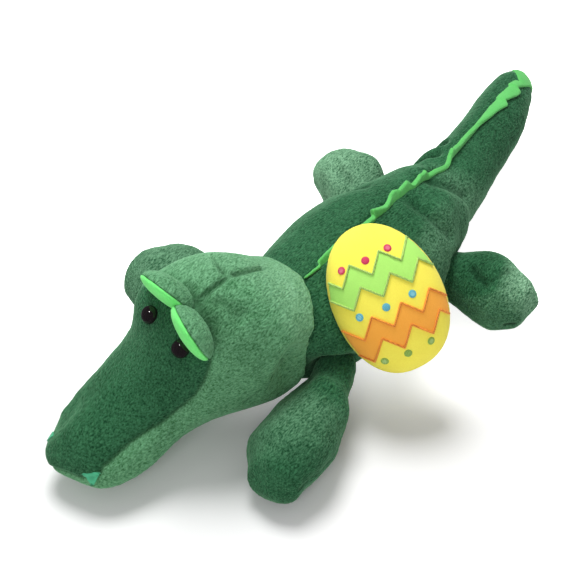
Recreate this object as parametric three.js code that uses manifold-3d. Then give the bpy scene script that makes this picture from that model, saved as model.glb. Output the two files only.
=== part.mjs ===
// A plush crocodile that lies on its belly, with a stuffed egg sewn to its left flank.
// Millimetres, +Z up, snout towards -Y, tail towards +Y, the crocodile's left towards +X. The origin is on the
// floor, in the middle of the flat that the belly rests on.
import * as THREE from "three";
import { mergeVertices } from "three/addons/utils/BufferGeometryUtils.js";
import Module from "manifold-3d";

const wasm = await Module();
wasm.setup();

// Cloth, seams and clearances
const CLOTH = 2.4; // plush with its pile pressed down
const FELT = 1.4; // the short-haired cloth of the nostrils and the bands on the egg
const SEAM_GAP = 0.3; // between two pieces that touch
const STUFFING_GAP = 1.5; // between the cloth and the stuffing
const SWING_GAP = 1; // round a limb that flexes at its seam
const SOCKET_GAP = 0.8; // round the ball at a limb's root
const FLOOR_CUT = 0.5; // depth of the flats that rest on the floor
const REACH = 600; // size of the blocks that cut, more than the whole toy

// How far each limb flexes, in degrees from the pose at rest
const HEAD_LIFT = 10;
const TAIL_SWAY = 14;
const HALF_TURN = 180;

// Torso
const TORSO_HALF_WIDTH = 50;
const TORSO_HALF_HEIGHT = 38;
const TORSO_FRONT = -76;
const TORSO_LENGTH = 192;
const TORSO_FRONT_DOME = 30;
const TORSO_END_DOME = 8;
const BELLY_SEAM_HEIGHT = 10;

// Neck ball, at the front of the torso, that the head is sewn round
const NECK_RADIUS = 33;
const NECK_SIDE = -13;
const NECK_BACK = 20; // from the torso's front
const NECK_RISE = 8; // above the torso's middle line
const NECK_Y = TORSO_FRONT + NECK_BACK;
const NECK_HEIGHT = TORSO_HALF_HEIGHT + NECK_RISE;

// Tail
const TAIL_SIDE = -1;
const TAIL_SUNK = 2; // from the torso's end to the middle of the tail's root
const TAIL_DROP = 1; // below the torso's middle line
const TAIL_Y = TORSO_FRONT + TORSO_LENGTH - TAIL_SUNK;
const TAIL_HEIGHT = TORSO_HALF_HEIGHT - TAIL_DROP;
const TAIL_LENGTH = 182;
const TAIL_RADIUS = 28; // of its root
const TAIL_TIP_DOME = 15;
const TAIL_HEADING = 4; // degrees, to the crocodile's right
const TAIL_TIP_PATCH = 11;

// Head
const HEAD_HALF_WIDTH = 48;
const HEAD_HALF_HEIGHT = 42;
const HEAD_LENGTH = 185;
const HEAD_BACK = 38; // from the neck ball's middle to the back of the crown
const HEAD_BACK_DOME = 40;
const SNOUT_DOME = 16;
const HEAD_HEADING = 18; // degrees, to the crocodile's right
const HEAD_PITCH = 8; // snout down
const HEAD_ROLL = 9; // left cheek down
const SNOUT_SEAM_BACK = 20; // height of the seam under the snout's top at the eyelids
const SNOUT_SEAM_FRONT = 1; // and at the nostrils
const CHIN_SEAM = -13; // height of the seam along the chin

// Legs
const FRONT_LEG_LENGTH = 110;
const HIND_LEG_LENGTH = 76;
const LEG_ROOT_RADIUS = 16;
const LEG_HALF_WIDTH = 28;
const LEG_HALF_HEIGHT = 22;
const FOOT_DOME = 24;

// Eyes, eyelids and nostrils: the eyelids stand at a share of the head's length, the eyes ahead of them and the
// nostrils back from the snout's end
const FACE_SIDE = 5.3; // from the head's middle plane to the middle of the face, to the right
const LID_LINE_SHARE = 0.508;
const LID_LINE = HEAD_LENGTH * LID_LINE_SHARE - HEAD_BACK;
const LID_HALF_WIDTH = 18;
const LID_HALF_DEPTH = 7.5;
const LID_HALF_HEIGHT = 19;
const LID_SIDE = 15;
const LID_LINING = 1.5; // from the lid's middle to the seam round its lining
const LID_LEAN = -24; // degrees, top forward
const LID_TILT = 30; // degrees, outward
const EYE_AHEAD = 10.5;
const EYE_LINE = LID_LINE + EYE_AHEAD;
const EYE_SIDE = 14.8;
const EYE_RADIUS = 5.4;
const EYE_SHANK_RADIUS = 1.6;
const EYE_SHANK_LENGTH = 11;
const EYE_WASHER_RADIUS = 6;
const EYE_WASHER_THICKNESS = 1.6;
const EYE_WASHER_DEPTH = 6.4;
const NOSTRIL_BACK = 9;
const NOSTRIL_LINE = HEAD_LENGTH - HEAD_BACK - NOSTRIL_BACK;
const NOSTRIL_SIDE = 21;
const NOSTRIL_RADIUS = 6;

// Egg
const EGG_LENGTH = 90;
const EGG_HALF_WIDTH = 33.6;
const EGG_HALF_DEPTH = 22;
const EGG_BLUNT_DOME = 43;
const EGG_POINTED_DOME = 46;
const EGG_IN = 5.2; // from the torso's widest side to the egg's middle
const EGG_BACK = 59.4; // from the torso's front
const EGG_RISE = 33.2; // above the torso's middle line
const BAND_HALF_HEIGHT = 6.9;
const BAND_STEP = 9.2; // from a peak of the zigzag to the next valley
const BAND_SWING = 10.5; // from the peaks to the valleys
const GREEN_BAND_Y = -19;
const ORANGE_BAND_Y = 13;
const GREEN_BAND_SHIFT = 2.6;
const ORANGE_BAND_SHIFT = 4.6;
const BAND_EDGE = 3; // above the seam round the egg

// Crest
const CREST_THICKNESS = 4.4;
const CREST_BACK = 50; // from the torso's front to the crest's start
const CREST_START = TORSO_FRONT + CREST_BACK;
const CREST_TOOTH = 10;
const CREST_HEIGHT = 9;
const CREST_LOW = 4.5;
const CREST_SUNK = 6;
const CREST_LEAD = 20; // the straight part behind the head
const CREST_DROP = 0.6; // length of a tooth's steep side
const CREST_LEAN = 42; // degrees, to the left, reached at the tail's tip

// Each row: share of the length, then the half width, the height above and below the middle line as shares of
// the half sizes, and where the middle line lies, sideways and upwards, as shares of them too
const torsoShares = [
  [0, 0.8, 0.9, 0.9, -0.1, 1.12],
  [0.15, 0.8, 0.9, 0.94, -0.08, 1.1],
  [0.3, 0.9, 0.98, 1.08, -0.05, 1.03],
  [0.5, 1, 1.02, 1.05, 0, 1],
  [0.64, 0.98, 0.99, 1.05, 0, 1],
  [0.78, 0.87, 0.94, 1.02, 0, 0.98],
  [0.88, 0.72, 0.86, 0.9, -0.01, 0.97],
  [1, 0.58, 0.77, 0.77, -0.02, 0.97],
];
const tailShares = [
  [0, 1, 1, 1, 0, 0],
  [0.16, 1, 1, 1, 0, 0],
  [0.27, 0.88, 0.94, 0.94, 0.05, 0.03],
  [0.4, 0.74, 0.83, 0.83, 0.08, 0.05],
  [0.55, 0.67, 0.77, 0.73, 0.05, 0.09],
  [0.72, 0.61, 0.68, 0.63, -0.02, 0.14],
  [0.87, 0.54, 0.58, 0.54, -0.12, 0.18],
  [1, 0.47, 0.51, 0.49, -0.19, 0.2],
];
const headShares = [
  [0, 0.86, 0.95, 0.6, 0, 0.05],
  [0.13, 0.93, 1.02, 0.6, 0, 0.05],
  [0.27, 1, 1.26, 0.66, 0, 0.12],
  [0.4, 0.98, 1.34, 0.62, 0.02, 0.15],
  [0.5, 0.91, 1.34, 0.55, 0.05, 0.12],
  [0.6, 0.8, 1.06, 0.43, 0.07, 0.03],
  [0.7, 0.73, 0.74, 0.36, 0.06, -0.05],
  [0.8, 0.7, 0.57, 0.35, 0.04, -0.09],
  [0.9, 0.69, 0.47, 0.34, 0.03, -0.1],
  [1, 0.62, 0.4, 0.34, 0.03, -0.1],
];
const legShares = [
  [0, 0.6, 0.66, 0.66, 0, 0],
  [0.18, 0.6, 0.66, 0.66, 0, 0],
  [0.4, 0.78, 0.8, 0.84, 0, 0],
  [0.7, 1, 1, 1, 0, 0],
  [1, 0.95, 0.95, 0.95, 0, 0],
];
const eggShares = [
  [0, 0.92, 0.95, 0.95, 0, 0],
  [0.56, 1, 1, 1, 0, 0],
  [1, 1, 1, 1, 0, 0],
];

// Where each leg is sewn on: sideways as a share of the torso's half width, back from its front as a share of its
// length, and up as a share of its half height
const legPlaceShares = {
  front_left: [0.68, 0.1354, 0.7105],
  front_right: [-0.86, 0.2292, 0.6316],
  hind_left: [0.8, 0.7552, 0.6316],
  hind_right: [-0.7, 0.8542, 0.6316],
};

// The egg's direction from its pointed end to its blunt one, and the way its decorated face looks
const eggAxisShares = [0.7, -0.22, -0.68];
const eggFacingShares = [0.43, -0.61, 0.67];

const rad = THREE.MathUtils.degToRad;
const vec = (x, y, z) => new THREE.Vector3(x, y, z);
const moved = (x, y, z) => new THREE.Matrix4().makeTranslation(x, y, z);

// The value in a column of a table of shares, eased between its rows
function eased(table, column, at) {
  const last = table.length - 1;
  let k = 0;
  while (k < last - 1 && at > table[k + 1][0]) k += 1;
  const row = (i) => table[Math.min(Math.max(i, 0), last)];
  const slope = (i) => (row(i + 1)[column] - row(i - 1)[column]) / (row(i + 1)[0] - row(i - 1)[0]);
  const [a, b] = [row(k), row(k + 1)];
  const step = b[0] - a[0];
  const t = THREE.MathUtils.clamp((at - a[0]) / step, 0, 1);
  const back = 1 - t;
  return (
    back * back * ((1 + 2 * t) * a[column] + t * step * slope(k)) +
    t * t * ((1 + 2 * back) * b[column] - back * step * slope(k + 1))
  );
}

// A stuffed form along +Y, a closed surface of rings with a dome at each end, whose size follows the shares
function stuffedForm(size, shares, steps, inset = 0) {
  const { length, halfWidth, halfHeight, startDome, endDome, from } = size;
  const places = [];
  const domeStep = (i) => (i / steps.dome) * (Math.PI / 2);
  for (let i = 1; i <= steps.dome; i += 1) {
    places.push({ y: startDome * (1 - Math.cos(domeStep(i))), round: Math.sin(domeStep(i)) });
  }
  const straight = length - startDome - endDome;
  for (let i = 1; i < steps.middle; i += 1) {
    places.push({ y: startDome + (straight * i) / steps.middle, round: 1 });
  }
  for (let i = steps.dome; i >= 1; i -= 1) {
    places.push({ y: length - endDome * (1 - Math.cos(domeStep(i))), round: Math.sin(domeStep(i)) });
  }
  const middle = (y) => vec(
    eased(shares, 4, y / length) * halfWidth,
    from + y,
    eased(shares, 5, y / length) * halfHeight,
  );
  const ring = ({ y, round }) => {
    const centre = middle(y);
    const side = eased(shares, 1, y / length) * halfWidth * round;
    const rise = eased(shares, 2, y / length) * halfHeight * round;
    const drop = eased(shares, 3, y / length) * halfHeight * round;
    return Array.from({ length: steps.round }, (_, j) => {
      const turn = ((j + 0.5) / steps.round) * 2 * Math.PI;
      const tall = Math.sin(turn);
      return vec(centre.x + side * Math.cos(turn), centre.y, centre.z + tall * (tall > 0 ? rise : drop));
    });
  };
  const points = [middle(0), ...places.flatMap(ring), middle(length)];
  const index = [];
  const at = (row, j) => 1 + row * steps.round + (j % steps.round);
  for (let j = 0; j < steps.round; j += 1) {
    index.push(0, at(0, j), at(0, j + 1));
    for (let row = 0; row < places.length - 1; row += 1) {
      index.push(at(row, j), at(row + 1, j), at(row, j + 1));
      index.push(at(row, j + 1), at(row + 1, j), at(row + 1, j + 1));
    }
    index.push(points.length - 1, at(places.length - 1, j + 1), at(places.length - 1, j));
  }
  const made = new THREE.BufferGeometry().setFromPoints(points);
  made.setIndex(index);
  made.computeVertexNormals();
  const [place, normal] = [made.getAttribute("position"), made.getAttribute("normal")];
  for (let i = 0; i < place.count; i += 1) {
    const out = vec().fromBufferAttribute(normal, i).multiplyScalar(-inset);
    const point = vec().fromBufferAttribute(place, i).add(out);
    place.setXYZ(i, point.x, point.y, point.z);
  }
  return made;
}

// A closed geometry as a solid for joining and cutting, moved by a matrix
function solid(geometry, matrix = new THREE.Matrix4()) {
  const bare = geometry.clone().applyMatrix4(matrix);
  bare.deleteAttribute("normal");
  bare.deleteAttribute("uv");
  const merged = mergeVertices(bare);
  return new wasm.Manifold(new wasm.Mesh({
    numProp: 3,
    vertProperties: merged.getAttribute("position").array,
    triVerts: new Uint32Array(merged.index.array),
  }));
}

// The solid back as a geometry
function surface(made) {
  const mesh = made.getMesh();
  const geometry = new THREE.BufferGeometry();
  geometry.setAttribute("position", new THREE.BufferAttribute(new Float32Array(mesh.vertProperties), 3));
  geometry.setIndex(new THREE.BufferAttribute(new Uint32Array(mesh.triVerts), 1));
  return geometry;
}

const turned = (made, matrix) => made.transform(matrix.elements);

// Blocks that fill one side of a plane
const block = (x, y, z) => solid(new THREE.BoxGeometry(REACH, REACH, REACH), moved(x, y, z));
const leftOf = (x) => block(x + REACH / 2, 0, 0);
const rightOf = (x) => block(x - REACH / 2, 0, 0);
const beyond = (y) => block(0, y + REACH / 2, 0);
const before = (y) => block(0, y - REACH / 2, 0);
const above = (z) => block(0, 0, z + REACH / 2);
const below = (z) => block(0, 0, z - REACH / 2);

// The matrix of a limb's own frame: its +Y runs out along the limb
function frame(place, heading, pitch, roll) {
  const turn = new THREE.Euler(rad(pitch), rad(roll), rad(heading), "ZXY");
  return new THREE.Matrix4().makeRotationFromEuler(turn).setPosition(place);
}

// A turn about an axis of a limb's own frame, through its origin
const turnAbout = (axis, degrees) => new THREE.Matrix4().makeRotationAxis(axis, rad(degrees));

// Where the sewn limbs sit and how they point: place, heading from the tail's direction, swing to either side
const neckPlace = vec(NECK_SIDE, NECK_Y, NECK_HEIGHT);
const tailPlace = vec(TAIL_SIDE, TAIL_Y, TAIL_HEIGHT);
const headFrame = frame(neckPlace, HALF_TURN - HEAD_HEADING, -HEAD_PITCH, -HEAD_ROLL);
const tailFrame = frame(tailPlace, TAIL_HEADING, 0, 0);
const legPlace = ([side, along, up]) => vec(
  side * TORSO_HALF_WIDTH,
  TORSO_FRONT + along * TORSO_LENGTH,
  up * TORSO_HALF_HEIGHT,
);
const frontLeg = { length: FRONT_LEG_LENGTH, besideHead: true };
const hindLeg = { length: HIND_LEG_LENGTH, besideHead: false };
const legPlaces = {
  front_left: { ...frontLeg, heading: 189, swings: [0, 18] },
  front_right: { ...frontLeg, heading: 95, swings: [-15, 3] },
  hind_left: { ...hindLeg, heading: -75, swings: [-14, 14] },
  hind_right: { ...hindLeg, heading: 58, swings: [-10, 14] },
};
for (const [name, leg] of Object.entries(legPlaces)) leg.place = legPlace(legPlaceShares[name]);
const legDrop = (leg) => {
  const reach = leg.length - LEG_ROOT_RADIUS - FOOT_DOME;
  return THREE.MathUtils.radToDeg(Math.asin((leg.place.z + FLOOR_CUT - LEG_HALF_HEIGHT) / reach));
};

// Sizes of the stuffed forms, and how finely each is ringed
const torsoSize = {
  length: TORSO_LENGTH,
  halfWidth: TORSO_HALF_WIDTH,
  halfHeight: TORSO_HALF_HEIGHT,
  startDome: TORSO_FRONT_DOME,
  endDome: TORSO_END_DOME,
  from: TORSO_FRONT,
};
const headSize = {
  length: HEAD_LENGTH,
  halfWidth: HEAD_HALF_WIDTH,
  halfHeight: HEAD_HALF_HEIGHT,
  startDome: HEAD_BACK_DOME,
  endDome: SNOUT_DOME,
  from: -HEAD_BACK,
};
const tailSize = {
  length: TAIL_LENGTH,
  halfWidth: TAIL_RADIUS,
  halfHeight: TAIL_RADIUS,
  startDome: TAIL_RADIUS,
  endDome: TAIL_TIP_DOME,
  from: -TAIL_RADIUS,
};
const legSize = (length) => ({
  length,
  halfWidth: LEG_HALF_WIDTH,
  halfHeight: LEG_HALF_HEIGHT,
  startDome: LEG_ROOT_RADIUS,
  endDome: FOOT_DOME,
  from: -LEG_ROOT_RADIUS,
});
const eggSize = {
  length: EGG_LENGTH,
  halfWidth: EGG_HALF_WIDTH,
  halfHeight: EGG_HALF_DEPTH,
  startDome: EGG_POINTED_DOME,
  endDome: EGG_BLUNT_DOME,
  from: -EGG_LENGTH / 2,
};
const torsoSteps = { dome: 2, middle: 8, round: 16 };
const headSteps = { dome: 3, middle: 8, round: 16 };
const tailSteps = { dome: 2, middle: 6, round: 12 };
const legSteps = { dome: 2, middle: 4, round: 12 };
const eggSteps = { dome: 3, middle: 1, round: 16 };
const coreOf = (steps) => ({ ...steps, round: steps.round / 2 });

// The stuffed forms as solids, each with its surface moved inwards by the inset, or outwards below zero. Balls have
// their poles on the axis that the limb turns about
const rootBall = (radius, place, round = 12) => solid(
  new THREE.SphereGeometry(radius, round, round / 2).rotateX(rad(HALF_TURN / 2)),
  moved(place.x, place.y, place.z),
);
const neckBall = (radius, matrix) => solid(
  new THREE.SphereGeometry(radius, 16, 8).rotateZ(rad(HALF_TURN / 2)),
  matrix,
);
const tailBall = (radius) => rootBall(radius, tailPlace, 16);
const torsoForm = (inset, steps = torsoSteps) => solid(stuffedForm(torsoSize, torsoShares, steps, inset));
const tailForm = (inset, steps = tailSteps) => solid(stuffedForm(tailSize, tailShares, steps, inset));
const headForm = (inset, steps = headSteps) => solid(stuffedForm(headSize, headShares, steps, inset));
const legForm = (leg, inset, steps = legSteps) => solid(
  stuffedForm(legSize(leg.length), legShares, steps, inset),
  legFrame(leg),
);
const legFrame = (leg) => frame(leg.place, leg.heading, -legDrop(leg), 0);
const eggForm = (inset, steps = eggSteps) => solid(stuffedForm(eggSize, eggShares, steps, inset));

// The solid in every one of several turns about the place, as one
function swept(made, place, axis, angles) {
  const about = (angle) => moved(place.x, place.y, place.z)
    .multiply(turnAbout(axis, angle))
    .multiply(moved(-place.x, -place.y, -place.z));
  return angles.map((angle) => turned(made, about(angle))).reduce((all, one) => all.add(one));
}

// The largest piece of a solid that cuts have left in several
const largest = (made) => made.decompose().reduce((a, b) => (a.volume() > b.volume() ? a : b));

const X = vec(1, 0, 0);
const Y = vec(0, 1, 0);
const Z = vec(0, 0, 1);

// A prism from an outline in the plane across one axis, reaching from low to high along it
function prism(outline, low, high, across = Z) {
  const shape = new THREE.Shape(outline.map(([a, b]) => new THREE.Vector2(a, b)));
  const made = new THREE.ExtrudeGeometry(shape, { depth: high - low, bevelEnabled: false });
  const turn = new THREE.Matrix4();
  if (across === X) turn.makeBasis(Y, Z, X);
  return solid(made, turn.multiply(moved(0, 0, low)));
}

const group = new THREE.Group();
function add(name, made, colour, roughness, matrix = new THREE.Matrix4()) {
  const mesh = new THREE.Mesh(
    surface(largest(made)),
    new THREE.MeshStandardMaterial({ color: colour, roughness, metalness: 0 }),
  );
  mesh.name = name;
  mesh.applyMatrix4(matrix);
  group.add(mesh);
}

// Colours and finishes
const ROUGH_CLOTH = 0.95;
const GLOSSY = 0.15;
const DARK_GREEN = 0x2c6a43;
const MID_GREEN = 0x4d8a5c;
const LIGHT_GREEN = 0x6fd66c;
const MINT = 0x5fc394;
const YELLOW = 0xfbe44c;
const LIME = 0xb4f07d;
const ORANGE = 0xffa046;
const WHITE = 0xf2f0ea;
const BLACK = 0x0c0a0a;

// Torso: the form with a dimple for each leg and for the tail, as deep as the clearance and the cloth ask
function torsoSolid(inset, steps) {
  let made = torsoForm(inset, steps).add(neckBall(NECK_RADIUS - inset, headFrame));
  for (const leg of Object.values(legPlaces)) {
    made = made.subtract(rootBall(LEG_ROOT_RADIUS + SOCKET_GAP + inset, leg.place));
  }
  made = made.subtract(tailBall(TAIL_RADIUS + SOCKET_GAP + inset));
  return largest(made.subtract(below(inset)));
}
function addTorso() {
  const skin = torsoSolid(0).subtract(torsoSolid(CLOTH));
  const sides = skin.subtract(below(BELLY_SEAM_HEIGHT + SEAM_GAP));
  add("torso_left_panel", sides.subtract(rightOf(SEAM_GAP / 2)), DARK_GREEN, ROUGH_CLOTH);
  add("torso_right_panel", sides.subtract(leftOf(-SEAM_GAP / 2)), DARK_GREEN, ROUGH_CLOTH);
  add("belly_panel", skin.intersect(below(BELLY_SEAM_HEIGHT)), DARK_GREEN, ROUGH_CLOTH);
  add("torso_stuffing", torsoSolid(CLOTH + STUFFING_GAP, coreOf(torsoSteps)), WHITE, ROUGH_CLOTH);
}

// Tail: two side panels, a light patch over the tip and the stuffing, in its own frame, cut back from the torso
// through the whole sway and rounded off at its root
const tailWorld = tailFrame.clone().invert();
function tailSolid(inset, steps) {
  const torso = swept(turned(torsoForm(-SWING_GAP - inset), tailWorld), vec(), Z, [-TAIL_SWAY, 0, TAIL_SWAY]);
  const root = turned(tailBall(TAIL_RADIUS - inset), tailWorld);
  return tailForm(inset, steps).subtract(before(0)).subtract(torso).add(root);
}
function addTail() {
  const tip = TAIL_LENGTH - TAIL_RADIUS - TAIL_TIP_PATCH;
  const skin = tailSolid(0).subtract(tailSolid(CLOTH));
  const sides = skin.subtract(beyond(tip));
  add("tail_left_panel", sides.subtract(rightOf(SEAM_GAP / 2)), DARK_GREEN, ROUGH_CLOTH, tailFrame);
  add("tail_right_panel", sides.subtract(leftOf(-SEAM_GAP / 2)), DARK_GREEN, ROUGH_CLOTH, tailFrame);
  add("tail_tip_patch", skin.subtract(before(tip + SEAM_GAP)), LIGHT_GREEN, ROUGH_CLOTH, tailFrame);
  add("tail_stuffing", tailSolid(CLOTH + STUFFING_GAP, coreOf(tailSteps)), WHITE, ROUGH_CLOTH, tailFrame);
}

// Legs: each is cut back from the torso, the head and the tail in every pose, but for the ball at its root
function legSolid(leg, inset, steps) {
  const backwards = leg.swings.map((angle) => -angle);
  const clear = SWING_GAP + inset;
  const torso = swept(torsoForm(-clear), leg.place, Z, backwards);
  let made = legForm(leg, inset, steps).subtract(torso);
  if (leg.besideHead) {
    made = made.subtract(swept(turned(headForm(-clear), headFrame), leg.place, Z, backwards));
  }
  return largest(made.add(rootBall(LEG_ROOT_RADIUS - inset, leg.place)).subtract(below(inset)));
}
function addLeg(name, leg) {
  const skin = legSolid(leg, 0).subtract(legSolid(leg, CLOTH));
  const seam = LEG_HALF_HEIGHT - FLOOR_CUT;
  add(`${name}_leg_top_panel`, skin.subtract(below(seam + SEAM_GAP)), DARK_GREEN, ROUGH_CLOTH);
  add(`${name}_leg_sole_panel`, skin.intersect(below(seam)), DARK_GREEN, ROUGH_CLOTH);
  add(`${name}_leg_stuffing`, legSolid(leg, CLOTH + STUFFING_GAP, coreOf(legSteps)), WHITE, ROUGH_CLOTH);
}

// The point on the top of the head's form at a distance to the side and forward, and the direction out of it
function headPoint(side, forward) {
  const height = (x, y) => {
    const at = (y - headSize.from) / headSize.length;
    const half = eased(headShares, 1, at) * headSize.halfWidth;
    const rise = eased(headShares, 2, at) * headSize.halfHeight;
    const aside = eased(headShares, 4, at) * headSize.halfWidth;
    const middle = eased(headShares, 5, at) * headSize.halfHeight;
    return middle + rise * Math.sqrt(1 - ((x - aside) / half) ** 2);
  };
  const place = vec(side, forward, height(side, forward));
  const step = SEAM_GAP;
  const slopeX = (height(side + step, forward) - height(side - step, forward)) / (2 * step);
  const slopeY = (height(side, forward + step) - height(side, forward - step)) / (2 * step);
  return { place, out: vec(-slopeX, -slopeY, 1).normalize() };
}

// A matrix that stands +Z out of the head at a point
function outOfHead({ place, out }) {
  const turn = new THREE.Quaternion().setFromUnitVectors(Z, out);
  return new THREE.Matrix4().makeRotationFromQuaternion(turn).setPosition(place);
}
const eyePoint = (mirror) => headPoint(FACE_SIDE + mirror * EYE_SIDE, EYE_LINE);
const cylinder = (radius, low, high) => prism(
  Array.from({ length: 10 }, (_, j) => [
    radius * Math.cos((j / 5) * Math.PI),
    radius * Math.sin((j / 5) * Math.PI),
  ]),
  low,
  high,
);

// Head: cut back from the neck ball and the shoulders through the whole lift
const headWorld = headFrame.clone().invert();
function headSolid(inset, steps) {
  const torso = swept(turned(torsoForm(-SWING_GAP - inset), headWorld), vec(), X, [0, -HEAD_LIFT]);
  const neck = neckBall(NECK_RADIUS + SOCKET_GAP + inset);
  const ground = turned(below(inset), headWorld);
  return largest(headForm(inset, steps).subtract(torso).subtract(neck).subtract(ground));
}
function addHead() {
  let skin = headSolid(0).subtract(headSolid(CLOTH));
  let stuffing = headSolid(CLOTH + STUFFING_GAP, coreOf(headSteps));
  for (const mirror of [-1, 1]) {
    const seat = outOfHead(eyePoint(mirror));
    const hole = cylinder(EYE_SHANK_RADIUS + SEAM_GAP, -EYE_WASHER_DEPTH * 2, EYE_RADIUS);
    skin = skin.subtract(turned(hole, seat));
    const pocket = cylinder(EYE_WASHER_RADIUS + STUFFING_GAP, -EYE_SHANK_LENGTH - STUFFING_GAP, EYE_RADIUS);
    stuffing = stuffing.subtract(turned(pocket, seat));
  }
  const snoutEnd = HEAD_LENGTH - HEAD_BACK;
  const topOutline = (gap) => [
    [LID_LINE - gap, REACH],
    [LID_LINE - gap, SNOUT_SEAM_BACK - gap],
    [snoutEnd, SNOUT_SEAM_FRONT - gap],
    [REACH, SNOUT_SEAM_FRONT - gap],
    [REACH, REACH],
  ];
  const chin = below(CHIN_SEAM).intersect(beyond(-HEAD_BACK / 2));
  const chinGap = below(CHIN_SEAM + SEAM_GAP).intersect(beyond(-HEAD_BACK / 2 - SEAM_GAP));
  const sides = skin.subtract(prism(topOutline(SEAM_GAP), -REACH, REACH, X)).subtract(chinGap);
  const snout = skin.intersect(prism(topOutline(0), -REACH, REACH, X));
  add("head_left_panel", sides.subtract(leftOf(-SEAM_GAP / 2)), MID_GREEN, ROUGH_CLOTH, headFrame);
  add("head_right_panel", sides.subtract(rightOf(SEAM_GAP / 2)), MID_GREEN, ROUGH_CLOTH, headFrame);
  add("snout_top_panel", snout, DARK_GREEN, ROUGH_CLOTH, headFrame);
  add("chin_panel", skin.intersect(chin), MID_GREEN, ROUGH_CLOTH, headFrame);
  add("head_stuffing", stuffing, WHITE, ROUGH_CLOTH, headFrame);
}

// Eyelids: a padded half moon each, lined in front, sewn across the head
function addLid(name, mirror) {
  const { place } = headPoint(FACE_SIDE + mirror * LID_SIDE, LID_LINE);
  const leaf = new THREE.SphereGeometry(1, 14, 9)
    .scale(LID_HALF_WIDTH, LID_HALF_DEPTH, LID_HALF_HEIGHT)
    .rotateX(rad(LID_LEAN))
    .rotateY(rad(mirror * LID_TILT))
    .translate(place.x, place.y, place.z);
  const seam = new THREE.Matrix4().makeTranslation(place)
    .multiply(turnAbout(Y, mirror * LID_TILT))
    .multiply(turnAbout(X, LID_LEAN))
    .multiply(moved(0, LID_LINING, 0));
  const other = mirror > 0 ? rightOf(FACE_SIDE + SEAM_GAP / 2) : leftOf(FACE_SIDE - SEAM_GAP / 2);
  const eye = solid(new THREE.SphereGeometry(EYE_RADIUS + SEAM_GAP, 14, 9), outOfHead(eyePoint(mirror)));
  const lid = solid(leaf).subtract(headForm(-SEAM_GAP)).subtract(other).subtract(eye);
  const lining = lid.intersect(turned(beyond(SEAM_GAP), seam));
  const pad = lid.subtract(turned(beyond(0), seam));
  add(`${name}_eyelid_lining`, lining, LIGHT_GREEN, ROUGH_CLOTH, headFrame);
  add(`${name}_eyelid_pad`, pad, MID_GREEN, ROUGH_CLOTH, headFrame);
}

// Eyes: a glossy button on a shank through the cloth, held by a washer inside
function addEye(name, mirror) {
  const seat = outOfHead(eyePoint(mirror));
  const dome = solid(new THREE.SphereGeometry(EYE_RADIUS, 14, 9), seat).subtract(headForm(-SEAM_GAP));
  const shank = turned(cylinder(EYE_SHANK_RADIUS, -EYE_SHANK_LENGTH, EYE_RADIUS / 2), seat);
  add(`${name}_eye_button`, dome.add(shank), BLACK, GLOSSY, headFrame);
  const low = -EYE_WASHER_DEPTH - EYE_WASHER_THICKNESS;
  const washer = cylinder(EYE_WASHER_RADIUS, low, -EYE_WASHER_DEPTH)
    .subtract(cylinder(EYE_SHANK_RADIUS + SEAM_GAP, low * 2, 0));
  add(`${name}_eye_washer`, turned(washer, seat), WHITE, ROUGH_CLOTH, headFrame);
}

// Nostrils: a three-cornered patch of felt at each front corner of the snout
function addNostril(name, mirror) {
  const { place, out } = headPoint(mirror * NOSTRIL_SIDE, NOSTRIL_LINE);
  const patch = new THREE.CylinderGeometry(NOSTRIL_RADIUS, NOSTRIL_RADIUS, NOSTRIL_RADIUS, 3);
  const made = solid(patch.rotateX(Math.PI / 2), outOfHead({ place, out }))
    .intersect(headForm(-SEAM_GAP - FELT))
    .subtract(headForm(-SEAM_GAP));
  add(`${name}_nostril`, made, MINT, ROUGH_CLOTH, headFrame);
}

// Egg: its +Y runs from the pointed end to the blunt one, its +Z out of the decorated face
const eggAxis = vec(...eggAxisShares).normalize();
const eggSideways = vec().crossVectors(eggAxis, vec(...eggFacingShares)).normalize();
const eggOutward = vec().crossVectors(eggSideways, eggAxis).normalize();
const eggPlace = vec(TORSO_HALF_WIDTH - EGG_IN, TORSO_FRONT + EGG_BACK, TORSO_HALF_HEIGHT + EGG_RISE);
const eggFrame = new THREE.Matrix4().makeBasis(eggSideways, eggAxis, eggOutward).setPosition(eggPlace);
const eggWorld = eggFrame.clone().invert();
function eggSeat(clear) {
  const leg = legPlaces.front_left;
  const legs = swept(legForm(leg, -SWING_GAP - clear), leg.place, Z, leg.swings);
  return turned(torsoForm(-SEAM_GAP - clear).add(legs), eggWorld);
}
function zigzag(shift, from) {
  const steps = Math.ceil(EGG_HALF_WIDTH / BAND_STEP) + 1;
  const line = Array.from({ length: 2 * steps + 1 }, (_, j) => [
    shift + (j - steps) * BAND_STEP,
    from + ((j - steps) % 2 === 0 ? BAND_SWING : 0),
  ]);
  const upper = line.map(([x, y]) => [x, y - BAND_HALF_HEIGHT]);
  const lower = line.map(([x, y]) => [x, y + BAND_HALF_HEIGHT]).reverse();
  return prism([...upper, ...lower], BAND_EDGE, EGG_LENGTH);
}
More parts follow.
